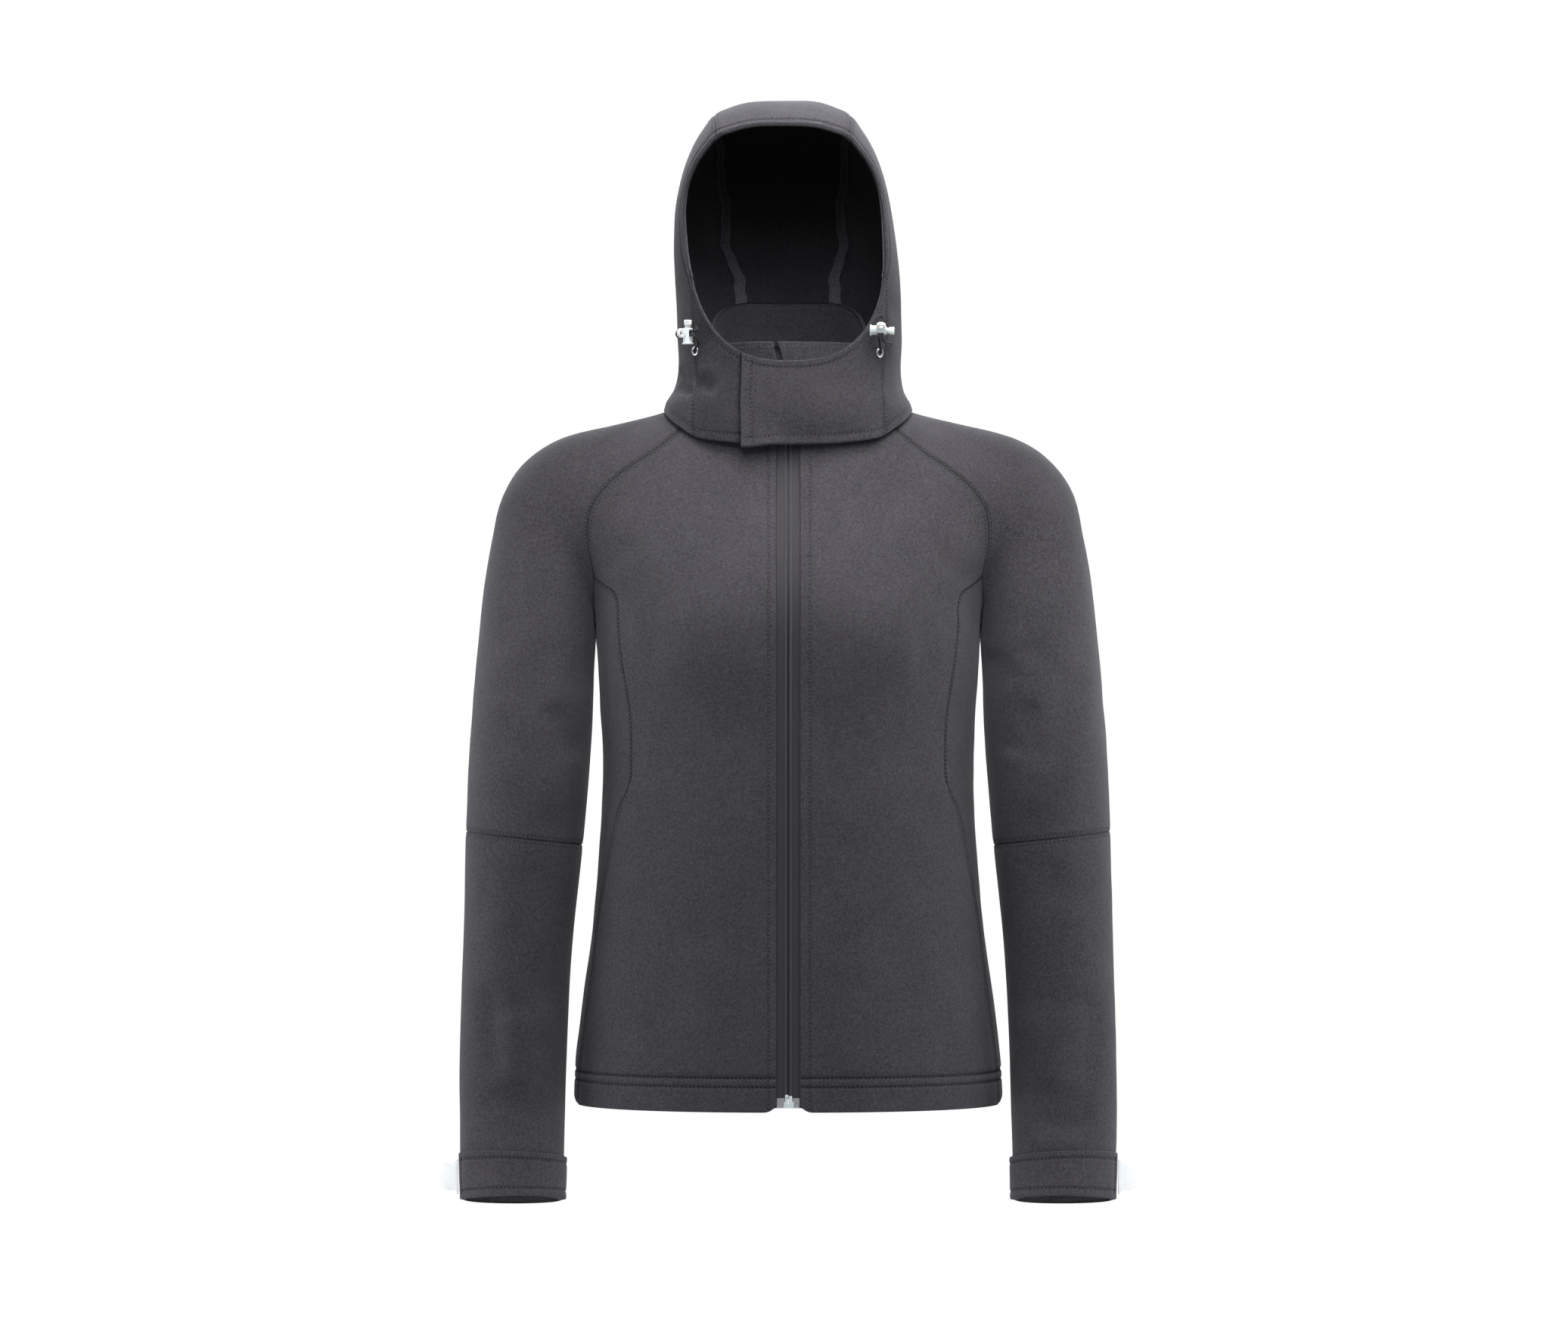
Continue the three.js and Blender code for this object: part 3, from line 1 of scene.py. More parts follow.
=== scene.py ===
# %% [markdown]
# # A softshell jacket, dressed in Blender
#
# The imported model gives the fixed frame. This lesson rebuilds the same two smooth forms as the
# CAD part, the body and the hood, and lays fine cloth grids on them between the real seam lines.
# Then it sews: seams sink, edges fold, rows of stitches pull the cloth in. All lengths below are
# millimetres until a mesh is made. The front faces -Y, +Z is up, the wearer's left is +X.

# %%
import math

import bpy
import numpy as np
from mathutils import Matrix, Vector


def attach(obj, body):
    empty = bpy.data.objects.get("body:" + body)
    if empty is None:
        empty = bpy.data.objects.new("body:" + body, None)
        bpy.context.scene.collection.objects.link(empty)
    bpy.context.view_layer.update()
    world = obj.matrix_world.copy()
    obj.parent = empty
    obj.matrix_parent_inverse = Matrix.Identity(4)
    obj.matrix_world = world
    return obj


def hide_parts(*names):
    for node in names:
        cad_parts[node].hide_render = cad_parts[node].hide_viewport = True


MM = 0.001
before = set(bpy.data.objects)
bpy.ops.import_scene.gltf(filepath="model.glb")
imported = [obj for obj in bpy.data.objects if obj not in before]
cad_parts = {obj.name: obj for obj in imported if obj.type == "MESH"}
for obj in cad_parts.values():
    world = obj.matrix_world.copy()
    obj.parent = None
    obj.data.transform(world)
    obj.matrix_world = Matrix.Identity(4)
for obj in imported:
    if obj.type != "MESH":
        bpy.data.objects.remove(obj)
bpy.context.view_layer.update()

# %% [markdown]
# ## Camera
#
# The photo is taken level, from straight in front, with a long lens: one pixel is 0.68 mm on the
# jacket's middle plane.

# %%
PHOTO_WIDE, PIXEL = 2073, 0.68
CAMERA = {"x": -3.7, "z": -236, "distance": 5000, "sensor": 36, "clip": 60}

camera_data = bpy.data.cameras.new("camera")
camera_data.sensor_width = CAMERA["sensor"]
camera_data.lens = CAMERA["sensor"] * CAMERA["distance"] / (PHOTO_WIDE * PIXEL)
camera_data.clip_end = CAMERA["clip"]
camera = bpy.data.objects.new("camera", camera_data)
bpy.context.scene.collection.objects.link(camera)
camera.location = (CAMERA["x"] * MM, -CAMERA["distance"] * MM, CAMERA["z"] * MM)
camera.rotation_euler = (math.pi / 2, 0, 0)
bpy.context.scene.camera = camera


# %% [markdown]
# ## Tables
#
# A table is a set of named columns. `read` follows one column along another on a smooth curve.

# %%
def table(names, rows):
    """Named columns, each an array, from rows of numbers."""
    return dict(zip(names.split(), np.array(rows, float).T))


def read(rows, key, column, at):
    """Hermite curve through a column: p(t) = h00 p + h10 s m + h01 q + h11 s n, slopes m and n
    taken over each row's neighbours and s the step between the rows."""
    x, y = rows[key], rows[column]
    last = len(x) - 1
    at = np.clip(at, x[0], x[-1])
    i = np.searchsorted(x[1:last], at, side="left")
    low, high = np.maximum(np.arange(last + 1) - 1, 0), np.minimum(np.arange(last + 1) + 1, last)
    slope = (y[high] - y[low]) / (x[high] - x[low])
    step = x[i + 1] - x[i]
    t = (at - x[i]) / step
    return (
        (2 * t**3 - 3 * t**2 + 1) * y[i]
        + (t**3 - 2 * t**2 + t) * step * slope[i]
        + (3 * t**2 - 2 * t**3) * y[i + 1]
        + (t**3 - t**2) * step * slope[i + 1]
    )


def smooth(low, high, at):
    """Smooth step: 0 below low, 1 above high, 3t^2 - 2t^3 between."""
    t = np.clip((at - low) / (high - low), 0, 1)
    return t * t * (3 - 2 * t)


def bell(away, width):
    """Bell curve exp(-(away / width)^2)."""
    return np.exp(-((away / width) ** 2))


# %% [markdown]
# ## The pattern's measures
#
# Half widths and depths of the body, the arm and the hood, at heights above the neck's level.

# %%
CLOTH = 2.0
HEM_Z = -627
UNDERARM = (173, 3, -207)
ELBOW = {"outer": -384, "inner": -396}
CUFF = {"z": -711, "slope": 0.19}
ZIP_HALF = 10

TORSO = table("z half front back", [
    (-680, 194, 125, 114), (-627, 192.5, 125, 113), (-590, 191, 124, 112), (-530, 184, 120, 108),
    (-470, 175.5, 115, 101), (-400, 169.5, 109, 91), (-330, 166.5, 106, 84), (-270, 169, 112, 88),
    (-225, 171.5, 121, 95), (-195, 173, 126, 99), (-165, 178, 126, 101), (-130, 193, 119, 101),
    (-95, 203, 106, 97), (-65, 190, 94, 88), (-35, 150, 80, 77), (-10, 104, 69, 66),
    (15, 72, 61, 57), (60, 56, 52, 48),
])
TORSO_SQUARE = 2.3
BUST = {"x": 78, "z": -172, "spread": 62, "rise": 9}

ARM = table("x z half depth mid", [
    (52, -42, 46, 44, 2), (98, -55, 49, 50, 3), (148, -68, 50.5, 56, 5), (186, -80, 52.5, 61, 6),
    (206, -98, 53, 63, 7), (215.5, -130, 51.5, 65, 7), (223, -180, 52, 67, 7),
    (227.5, -235, 53, 67, 8), (231.5, -300, 54.5, 65, 9), (237, -385, 53, 61, 8),
    (242.5, -480, 49, 55, -3), (245.5, -560, 48, 49, -16), (246.5, -640, 47, 43, -30),
    (246, -700, 45.5, 38, -40), (245, -770, 44, 35, -50),
])
ARM_STEPS, ARM_SQUARE = 6, 2.1
MELT = table("z width", [
    (-230, 3.5), (-190, 4), (-150, 14), (-110, 32), (-60, 34), (-20, 20), (40, 14),
])

HOOD = table("z half front back", [
    (-60, 117, 97, 74), (-20, 114, 95, 74), (0, 110, 93, 74), (12, 103.5, 91, 74),
    (32, 100, 88, 76), (60, 101, 87, 84), (100, 101, 91, 99), (150, 100.5, 102, 112),
    (200, 100, 111, 118), (280, 100, 115, 118),
])
HOOD_SQUARE = 2.4
CROWN = {"from": 100, "height": 173.5, "power": 2.8}
HOOD_LEAN = table("z x", [
    (0, 0), (40, 1.5), (60, 1.5), (100, 0), (165, -4), (200, -4.8), (280, -5.5),
])


# %% [markdown]
# ## Forms
#
# A form is a function that is negative inside, zero on the cloth and positive outside. The body
# is torso and arm with a soft join; the side panel lies on the torso's part of that join.

# %%
def vec(x, y, z):
    """Points from three coordinates, each a number or an array."""
    return np.stack(np.broadcast_arrays(x, y, z), -1).astype(float)


def past_section(u, v, half_u, half_v, square):
    """Distance past a rounded section: |q| (1 - 1/r), with r^n = |u/U|^n + |v/V|^n."""
    ratio = (np.abs(u / half_u) ** square + np.abs(v / half_v) ** square) ** (1 / square)
    return np.hypot(u, v) * (1 - 1 / np.maximum(ratio, 1e-6))


def torso(p):
    """Level rounded sections, with a rise over each bust point: h exp(-(d / spread)^2)."""
    x, y, z = np.moveaxis(p, -1, 0)
    depth = np.where(y < 0, read(TORSO, "z", "front", z), read(TORSO, "z", "back", z))
    bust = np.hypot(np.abs(x) - BUST["x"], z - BUST["z"])
    rise = np.where(y < 0, BUST["rise"] * bell(bust, BUST["spread"]), 0)
    return past_section(x, y, read(TORSO, "z", "half", z), depth + rise, TORSO_SQUARE)


shares = np.linspace(0, 1, (len(ARM["x"]) - 1) * ARM_STEPS + 1)
ARM["share"] = np.linspace(0, 1, len(ARM["x"]))
arm_line = {name: read(ARM, "share", name, shares) for name in ("x", "z", "half", "depth", "mid")}
ARM_BATCH = 20000


def arm(p):
    """Distance past the arm's section at the nearest place of its centre line."""
    flat = p.reshape(-1, 3)
    a = np.stack([arm_line["x"], arm_line["z"]], -1)
    way = np.diff(a, axis=0)
    out = np.empty(len(flat))
    for start in range(0, len(flat), ARM_BATCH):
        q = flat[start : start + ARM_BATCH]
        rel = np.stack([np.abs(q[:, 0]), q[:, 2]], -1)[:, None] - a[:-1]
        t = np.clip((rel * way).sum(-1) / (way * way).sum(-1), 0, 1)
        off = np.linalg.norm(rel - way * t[..., None], axis=-1)
        i = off.argmin(1)
        rows = np.arange(len(q))
        t, off = t[rows, i], off[rows, i]
        half, depth, mid = (
            arm_line[name][i] * (1 - t) + arm_line[name][i + 1] * t for name in ("half", "depth", "mid")
        )
        out[start : start + ARM_BATCH] = past_section(off, q[:, 1] - mid, half, depth, ARM_SQUARE)
    return out.reshape(p.shape[:-1])


def fillet(a, b, z):
    """Soft join of two forms: (w - |a - b|)^2 / 4w where they lie within w of each other."""
    width = read(MELT, "z", "width", z)
    near = np.maximum(width - np.abs(a - b), 0) / width
    return near * near * width / 4


def body(p):
    """Torso and arm, melted together."""
    a, b = torso(p), arm(p)
    return np.minimum(a, b) - fillet(a, b, p[..., 2])


def side(p):
    """The torso alone, with its share of the melt."""
    a = torso(p)
    return a - fillet(a, arm(p), p[..., 2])


def hood(p):
    """Level sections that close over the crown: r^c = level^c + (above / height)^c."""
    x, y, z = np.moveaxis(p, -1, 0)
    depth = np.where(y < 0, read(HOOD, "z", "front", z), read(HOOD, "z", "back", z))
    level = np.abs(x / read(HOOD, "z", "half", z)) ** HOOD_SQUARE
    level = (level + np.abs(y / depth) ** HOOD_SQUARE) ** (1 / HOOD_SQUARE)
    above = np.maximum(z - CROWN["from"], 0)
    power = CROWN["power"]
    ratio = (level**power + (above / CROWN["height"]) ** power) ** (1 / power)
    return np.sqrt(x * x + y * y + above * above) * (1 - 1 / np.maximum(ratio, 1e-6))


# %% [markdown]
# ## Ways onto a form
#
# `settle` moves points to the nearest cloth, `meet` finds it along a straight way.

# %%
PROBE, FARTHEST, MARCH, HALVINGS, REACH = 0.4, 15, 60, 16, 260


def slope(form, p):
    """Gradient of a form by central differences."""
    step = PROBE * np.eye(3)
    return np.stack([(form(p + d) - form(p - d)) / (2 * PROBE) for d in step], -1)


def unit(v):
    """Vectors of length one: v / |v|."""
    return v / np.maximum(np.linalg.norm(v, axis=-1, keepdims=True), 1e-9)


def settle(form, p, rounds=9):
    """Newton's way onto a form: p - f grad / |grad|^2, at most FARTHEST a round."""
    p = np.array(p, float)
    for _ in range(rounds):
        g = slope(form, p)
        move = form(p) / np.maximum((g * g).sum(-1), 1e-4)
        p = p - g * np.clip(move, -FARTHEST, FARTHEST)[..., None]
    return p


def meet(form, outside, inside):
    """First meeting with a form on straight ways inwards, marched and then halved."""
    outside, inside = np.broadcast_arrays(np.asarray(outside, float), np.asarray(inside, float))
    at = lambda t: outside + (inside - outside) * t[..., None]
    low = np.zeros(outside.shape[:-1])
    high = np.ones(outside.shape[:-1])
    found = np.zeros(outside.shape[:-1], bool)
    for i in range(1, MARCH + 1):
        t = np.full(low.shape, i / MARCH)
        hit = (form(at(t)) <= 0) & ~found
        low, high = np.where(hit, t - 1 / MARCH, low), np.where(hit, t, high)
        found |= hit
        if found.all():
            break
    for _ in range(HALVINGS):
        middle = (low + high) / 2
        out = form(at(middle)) > 0
        low, high = np.where(out, middle, low), np.where(out, high, middle)
    return at(high)


SKY_Z, GROUND_Z = 90, -120
from_front = lambda form, x, z: meet(form, vec(x, -REACH, z), vec(x, 0, z))
from_back = lambda form, x, z: meet(form, vec(x, REACH, z), vec(x, 0, z))
from_above = lambda form, x, y: meet(form, vec(x, y, SKY_Z), vec(x, y, GROUND_Z))


# %% [markdown]
# ## Seam lines
#
# The same points as the CAD part, drawn as fine curves. `DENSE` samples stand for each step.

# %%
DENSE = 12


def dense(points, form=None):
    """A fine smooth curve through points, settled onto a form."""
    points = np.asarray(points, float)
    share = np.linspace(0, 1, len(points))
    fine = np.linspace(0, 1, (len(points) - 1) * DENSE + 1)
    rows = {"share": share, "x": points[:, 0], "y": points[:, 1], "z": points[:, 2]}
    curve = np.stack([read(rows, "share", name, fine) for name in "xyz"], -1)
    if form is None:
        return curve
    keep = curve[[0, -1]]
    curve = settle(form, curve, 4)
    curve[[0, -1]] = keep
    return curve


def join(*curves):
    """Curves end to end, without the doubled points."""
    return np.concatenate([curves[0]] + [c[1:] for c in curves[1:]])


def arc(curve):
    """Length along a curve at each of its points."""
    return np.concatenate([[0], np.cumsum(np.linalg.norm(np.diff(curve, axis=0), axis=1))])


def at(curve, t):
    """A curve's points at shares of its point count."""
    own = np.linspace(0, 1, len(curve))
    return np.stack([np.interp(t, own, curve[:, k]) for k in range(3)], -1)


def evened(curve, t):
    """A curve's points at shares of its length."""
    length = arc(curve)
    t = np.asarray(t) * length[-1]
    return np.stack([np.interp(t, length, curve[:, k]) for k in range(3)], -1)


# %% [markdown]
# The seam lines themselves: neck, raglan, princess. Each is projected onto the body from in front
# or behind.

# %%
NECK = {"half": 75, "front": 74, "back": 61}


def neckline(degrees):
    """Point of the neckline, from the centre front round to the back."""
    turn = np.radians(degrees)
    depth = np.where(np.cos(turn) > 0, NECK["front"], NECK["back"])
    return from_above(body, NECK["half"] * np.sin(turn), -depth * np.cos(turn))


RAGLAN_FRONT = table("x z", [
    (94, -22), (118, -43), (137, -56), (153, -68), (166, -81), (174, -94), (178, -110),
    (178, -132), (174, -155),
])
RAGLAN_BACK = table("x z", [
    (84, -26), (108, -48), (129, -64), (146, -78), (159, -92), (168, -106), (173, -121),
    (175, -137), (173, -155),
])
RAGLAN_NECK = {"front": 66, "back": 128}
CREASE_Z, PRESS = np.array([-170, -183, -195]), 84
OVERARM = np.array([
    (75, 8), (108, 0), (140, -11), (172, -23), (203, -33), (229, -46), (246, -64), (255, -86),
    (262, -110), (268, -136), (272, -160), (276, -184), (279, -207),
], float)
PRINCESS_FRONT = table("x z", [
    (164, -163), (155, -170), (151, -182), (150.5, -205), (146, -243), (140.5, -282),
    (139.5, -312), (141, -341), (151, -362), (157, -390), (164, -428), (171, -470),
    (176.5, -520), (182.5, -565), (186.5, -600), (188, HEM_Z),
])
PRINCESS_BACK = table("x z", [
    (160, -165), (148, -173), (140, -187), (134, -210), (126, -247), (120, -285), (118, -315),
    (118, -343), (119, -366), (122, -394), (127, -432), (133, -474), (140, -522),
    (146, -566), (150, -600), (152, HEM_Z),
])


def crease(z, way):
    """Where arm and torso press together, in front (-1) or behind (+1): sqrt(PRESS * overlap) deep."""
    i = np.abs(arm_line["z"][:, None] - z).argmin(0)
    inner = arm_line["x"][i] - arm_line["half"][i]
    edge = read(TORSO, "z", "half", z)
    reach = np.sqrt(PRESS * np.maximum(edge - inner, 0))
    return settle(body, vec((edge + inner) / 2, UNDERARM[1] + way * reach, z))


def raglan(rows, degrees, project, way):
    """Raglan seam from the neck over the front or back, through the crease, to the underarm."""
    foot = settle(body, np.array([UNDERARM], float))
    top = neckline(np.array([degrees], float))
    points = [top, project(body, rows["x"], rows["z"]), crease(CREASE_Z, way), foot]
    return dense(np.concatenate(points), body)


BRANCH = 9 * DENSE
raglan_front = raglan(RAGLAN_FRONT, RAGLAN_NECK["front"], from_front, -1)
raglan_back = raglan(RAGLAN_BACK, RAGLAN_NECK["back"], from_back, 1)


def princess(rows, start, project):
    """Princess seam from the hem up to its branch of the raglan seam."""
    points = project(body, rows["x"], rows["z"])
    return dense(np.concatenate([[start], points]), body)[::-1]


princess_front = princess(PRINCESS_FRONT, raglan_front[BRANCH], from_front)
princess_back = princess(PRINCESS_BACK, raglan_back[BRANCH], from_back)
print("seams in mm:", *(round(float(arc(c)[-1])) for c in (raglan_front, raglan_back, princess_front,
                                                          princess_back)))

# %% [markdown]
# ## Creases
#
# Soft troughs and ridges, each a bowed line with a width and a depth. `face` says where it lies:
# -1 on the front, 1 on the back. A positive depth is a trough.

# %%
CREASES = table("face x z to_x to_z bow width depth", [
    # the fullest line of the bust, and the hollow under it
    (-1, 122, -226, 18, -230, 0, 42, -5.4), (-1, -122, -226, -18, -230, 0, 42, -5.4),
    (-1, 136, -302, 12, -306, 0, 36, 3.4), (-1, -136, -302, -12, -306, 0, 36, 3.4),
    (-1, 118, -148, 22, -150, 0, 34, 2.6), (-1, -118, -148, -22, -150, 0, 34, 2.6),
    # under the bust and over the waist
    (-1, 148, -236, 60, -288, -10, 26, 1.3), (-1, -150, -232, -58, -292, -12, 26, 1.3),
    (-1, 144, -290, 84, -246, 6, 15, 1.3), (-1, -143, -296, -86, -240, 7, 15, 1.4),
    (-1, 140, -318, 70, -330, -8, 20, -1.2), (-1, -140, -322, -64, -336, -9, 20, -1.2),
    (-1, 62, -196, 30, -300, 8, 20, 0.9), (-1, -66, -192, -34, -296, 8, 20, 0.9),
    (-1, 120, -345, 60, -420, 9, 24, 0.9), (-1, -122, -350, -58, -430, 8, 24, 0.9),
    # from the underarm into the chest
    (-1, 172, -160, 128, -122, 6, 11, 1.5), (-1, -172, -158, -126, -126, 6, 11, 1.5),
    (-1, 168, -176, 120, -172, 4, 10, 1.1), (-1, -168, -174, -122, -176, 4, 10, 1.1),
    # down the skirt of the jacket
    (-1, 96, -440, 112, -590, 5, 26, 1.1), (-1, -100, -450, -118, -596, 5, 26, 1.1),
    (-1, 44, -480, 52, -600, 3, 20, -0.8), (-1, -48, -470, -58, -600, 3, 20, -0.8),
    # upper arms
    (-1, 248, -230, 214, -330, 9, 13, 1.8), (-1, -250, -226, -216, -336, 9, 13, 1.8),
    (-1, 216, -262, 194, -318, 5, 11, 2.2), (-1, -214, -268, -193, -322, 5, 11, 2.2),
    (-1, 234, -262, 212, -372, 6, 14, -1.7), (-1, -236, -258, -214, -376, 6, 14, -1.7),
    (-1, 262, -262, 246, -352, 4, 12, -1.1), (-1, -264, -256, -248, -350, 4, 12, -1.1),
    (-1, 205, -215, 236, -246, 5, 13, 1.1), (-1, -206, -210, -238, -244, 5, 13, 1.1),
    (-1, 178, -222, 200, -254, 3, 9, 1.2), (-1, -178, -220, -200, -258, 3, 9, 1.2),
    # lower arms
    (-1, 236, -400, 222, -560, 8, 20, 1.8), (-1, -236, -398, -222, -556, 8, 20, 1.8),
    (-1, 256, -440, 236, -548, -7, 15, -1.4), (-1, -257, -446, -238, -540, -7, 15, -1.4),
    (-1, 268, -520, 262, -610, 5, 11, 1.7), (-1, -268, -510, -262, -606, 5, 11, 1.7),
    (-1, 244, -530, 236, -618, -5, 14, -1.7), (-1, -246, -536, -238, -612, -5, 14, -1.7),
    (-1, 276, -628, 214, -642, 8, 11, 1.4), (-1, -276, -622, -214, -640, 8, 11, 1.4),
    (-1, 262, -660, 210, -656, -5, 9, -0.9), (-1, -262, -658, -210, -654, -5, 9, -0.9),
    # back: waist, shoulder blades, underarm and arms
    (1, 140, -250, 60, -300, 10, 20, 1.5), (1, -140, -256, -60, -296, 10, 20, 1.5),
    (1, 110, -336, -110, -330, 10, 18, 1.2), (1, 100, -300, -96, -304, -8, 20, -1.2),
    (1, 160, -150, 112, -112, 6, 14, 1.6), (1, -160, -152, -112, -116, 6, 14, 1.6),
    (1, 86, -440, 98, -590, 5, 26, 1.1), (1, -84, -446, -98, -590, 5, 26, 1.1),
    (1, 250, -250, 214, -300, 8, 14, 1.8), (1, -250, -246, -214, -304, 8, 14, 1.8),
    (1, 270, -330, 214, -352, 9, 12, 2.0), (1, -270, -326, -214, -356, 9, 12, 2.0),
    (1, 272, -420, 216, -412, 8, 12, 2.0), (1, -272, -424, -216, -410, 8, 12, 2.0),
    (1, 262, -470, 226, -560, 7, 16, 1.4), (1, -262, -466, -226, -560, 7, 16, 1.4),
    # the hood's chin pieces, sides and the small pucker beside the underlap
    (-1, -106, 22, -62, 6, 4, 6, 3.2), (-1, -98, 34, -86, 4, -4, 5, 3.6),
    (-1, -104, 14, -84, 8, 2, 4, 3.8), (-1, -84, 24, -60, 26, 3, 4.5, -0.8),
    (-1, 86, 0, 118, 5, 2, 3.5, 1.6), (-1, -60, 40, -46, -20, 3, 8, 0.9),
    (-1, 96, 40, 102, -6, 3, 5, 1.2), (-1, 92, 96, 99, 30, 2, 5, 1.3),
    (-1, -98, 110, -101, 60, -3, 7, 1.2), (-1, 60, 20, -20, 34, 6, 14, 0.7),
])


def creases(p):
    """Sum of depth exp(-(d / width)^2), d the distance to each bowed line seen from the front."""
    x, y, z = np.moveaxis(p, -1, 0)
    total = np.zeros(x.shape)
    for row in zip(*CREASES.values()):
        face, x0, z0, x1, z1, bow, width, depth = row
        length = math.hypot(x1 - x0, z1 - z0)
        ux, uz = (x1 - x0) / length, (z1 - z0) / length
        along = ((x - x0) * ux + (z - z0) * uz) / length
        t = np.clip(along, 0, 1)
        middle = bow * 4 * t * (1 - t)
        off = (x - x0) * -uz + (z - z0) * ux - middle
        past = (along - t) * length
        fade = smooth(0, 0.22, t) * smooth(0, 0.22, 1 - t)
        on_face = smooth(-8, 14, y * face)
        across, beyond = bell(off, width), bell(past, width)
        total -= depth * across * fade * on_face * beyond
    return total


WAVES = 7


def uneven(p, size, seed):
    """Mean of a few crossed waves sin(k p + phase), for cloth that is never quite smooth."""
    rng = np.random.default_rng(seed)
    total = np.zeros(p.shape[:-1])
    for _ in range(WAVES):
        way = unit(rng.normal(size=3)) * 2 * math.pi / (size * rng.uniform(0.7, 1.5))
        total += np.sin(p @ way + rng.uniform(0, 2 * math.pi))
    return total / WAVES


# %% [markdown]
# ## Cloth grids
#
# A patch fills the space between four seam lines (Coons), is settled onto its form, and is
# sampled finely beside its edges so that seams and folded edges have real roundness.

# %%
EDGE = np.array([0, 0.5, 1, 1.6, 2.3, 3.1, 3.9, 4.7, 5.5, 6.3, 7.1, 7.9, 8.7, 9.6, 10.8])
ROW = np.array([-2.4, -1.6, -1.0, -0.5, 0, 0.5, 1.0, 1.6, 2.4])


def ticks(length, step, start=True, end=True, rows=()):
    """Shares from 0 to 1 of a length: fine near the named ends and rows, a step apart between."""
    low = EDGE if start else EDGE[:1]
    high = length - (EDGE[::-1] if end else EDGE[:1])
    count = max(int(round((high[0] - low[-1]) / step)), 1)
    marks = np.concatenate([low, np.linspace(low[-1], high[0], count + 1)[1:-1], high])
    for row in rows:
        marks = np.append(marks[np.abs(marks - row) > ROW[-1] + 0.4], row + ROW)
    return np.sort(marks) / length


class Cloth:
    """A grid of points with outward directions, and the way to each edge in millimetres."""

    def __init__(self, points, form):
        self.p = points
        self.n = unit(slope(form, points))
        across = np.linalg.norm(np.diff(points, axis=1), axis=2)
        up = np.linalg.norm(np.diff(points, axis=0), axis=2)
        self.left = np.concatenate([np.zeros((len(points), 1)), across.cumsum(1)], 1)
        self.right = self.left[:, -1:] - self.left
        self.bottom = np.concatenate([np.zeros((1, points.shape[1])), up.cumsum(0)], 0)
        self.top = self.bottom[-1:] - self.bottom
        self.rows = []
        self.shade = np.zeros(points.shape[:2])
        self.inner_shade = np.zeros(points.shape[:2])

    def way(self, edge):
        """Millimetres from an edge, at each point."""
        return getattr(self, edge)

    def move(self, amount):
        """Moves the points outwards by an amount."""
        self.p = self.p + self.n * np.asarray(amount)[..., None]
        return self

    def crease(self, scale=1.0, seed=1):
        """The table's creases and a soft unevenness, calmer beside the edges."""
        soft = 0.55 * uneven(self.p, 70, seed) + 0.25 * uneven(self.p, 26, seed + 1)
        calm = np.ones(self.p.shape[:2])
        for edge in ("left", "right", "bottom", "top"):
            calm = calm * (0.35 + 0.65 * smooth(0, 14, self.way(edge)))
        return self.move((creases(self.p) * scale + soft) * calm)

    def kept(self, edge, start, stop):
        """1 where a row along an edge lies between two shares of it, 0 elsewhere."""
        side = edge in ("left", "right")
        share = np.linspace(0, 1, len(self.p) if side else self.p.shape[1])
        kept = ((share >= start - 1e-9) & (share <= stop + 1e-9)).astype(float)
        return kept[:, None] if side else kept[None, :]

    def seam(self, edge, depth=1.1, width=1.3, start=0.0, stop=1.0, dark=0.42):
        """The edge sinks into a seam: -depth exp(-(d / width)^1.6), and shade gathers there."""
        kept = self.kept(edge, start, stop)
        self.shade = self.shade + dark * bell(self.way(edge), 1.1) * kept
        return self.move(-depth * np.exp(-((self.way(edge) / width) ** 1.6)) * kept)

    def fold(self, edge, radius=1.6, start=0.0, stop=1.0):
        """The edge is folded: it turns down on a quarter circle."""
        near = np.clip(1 - self.way(edge) / radius, 0, 1)
        drop = radius * (1 - np.sqrt(np.maximum(1 - near * near, 0)))
        return self.move(-drop * self.kept(edge, start, stop))

    def stitch(self, edge, away, start=0.0, stop=1.0, dent=0.45, spread=1.1):
        """A row of stitches at a way from an edge, with the cloth pulled in along it:
        -dent exp(-((d - away) / spread)^2), between two shares of the row."""
        off = self.way(edge) - away
        kept = self.kept(edge, start, stop)
        # painted shade in the dent along the row of stitches
        self.shade = self.shade + (0.3 + 0.35 * dent) * bell(off, 0.8) * kept
        self.move(-dent * bell(off, spread) * kept)
        self.rows.append((edge, away, start, stop))
        return self

    def line(self, edge, away, start=0.0, stop=1.0):
        """Points and outward directions along a row at a way from an edge."""
        side = edge in ("left", "right")
        way, p, n = self.way(edge), self.p, self.n
        if not side:
            way, p, n = way.T, p.transpose(1, 0, 2), n.transpose(1, 0, 2)
        share = np.linspace(0, 1, len(p))
        points, normals = [], []
        for j in np.nonzero((share >= start - 1e-9) & (share <= stop + 1e-9))[0]:
            order = np.argsort(way[j])
            for values, found in ((p, points), (n, normals)):
                found.append([np.interp(away, way[j][order], values[j][order, k]) for k in range(3)])
        return np.array(points), unit(np.array(normals))


COARSE = 4


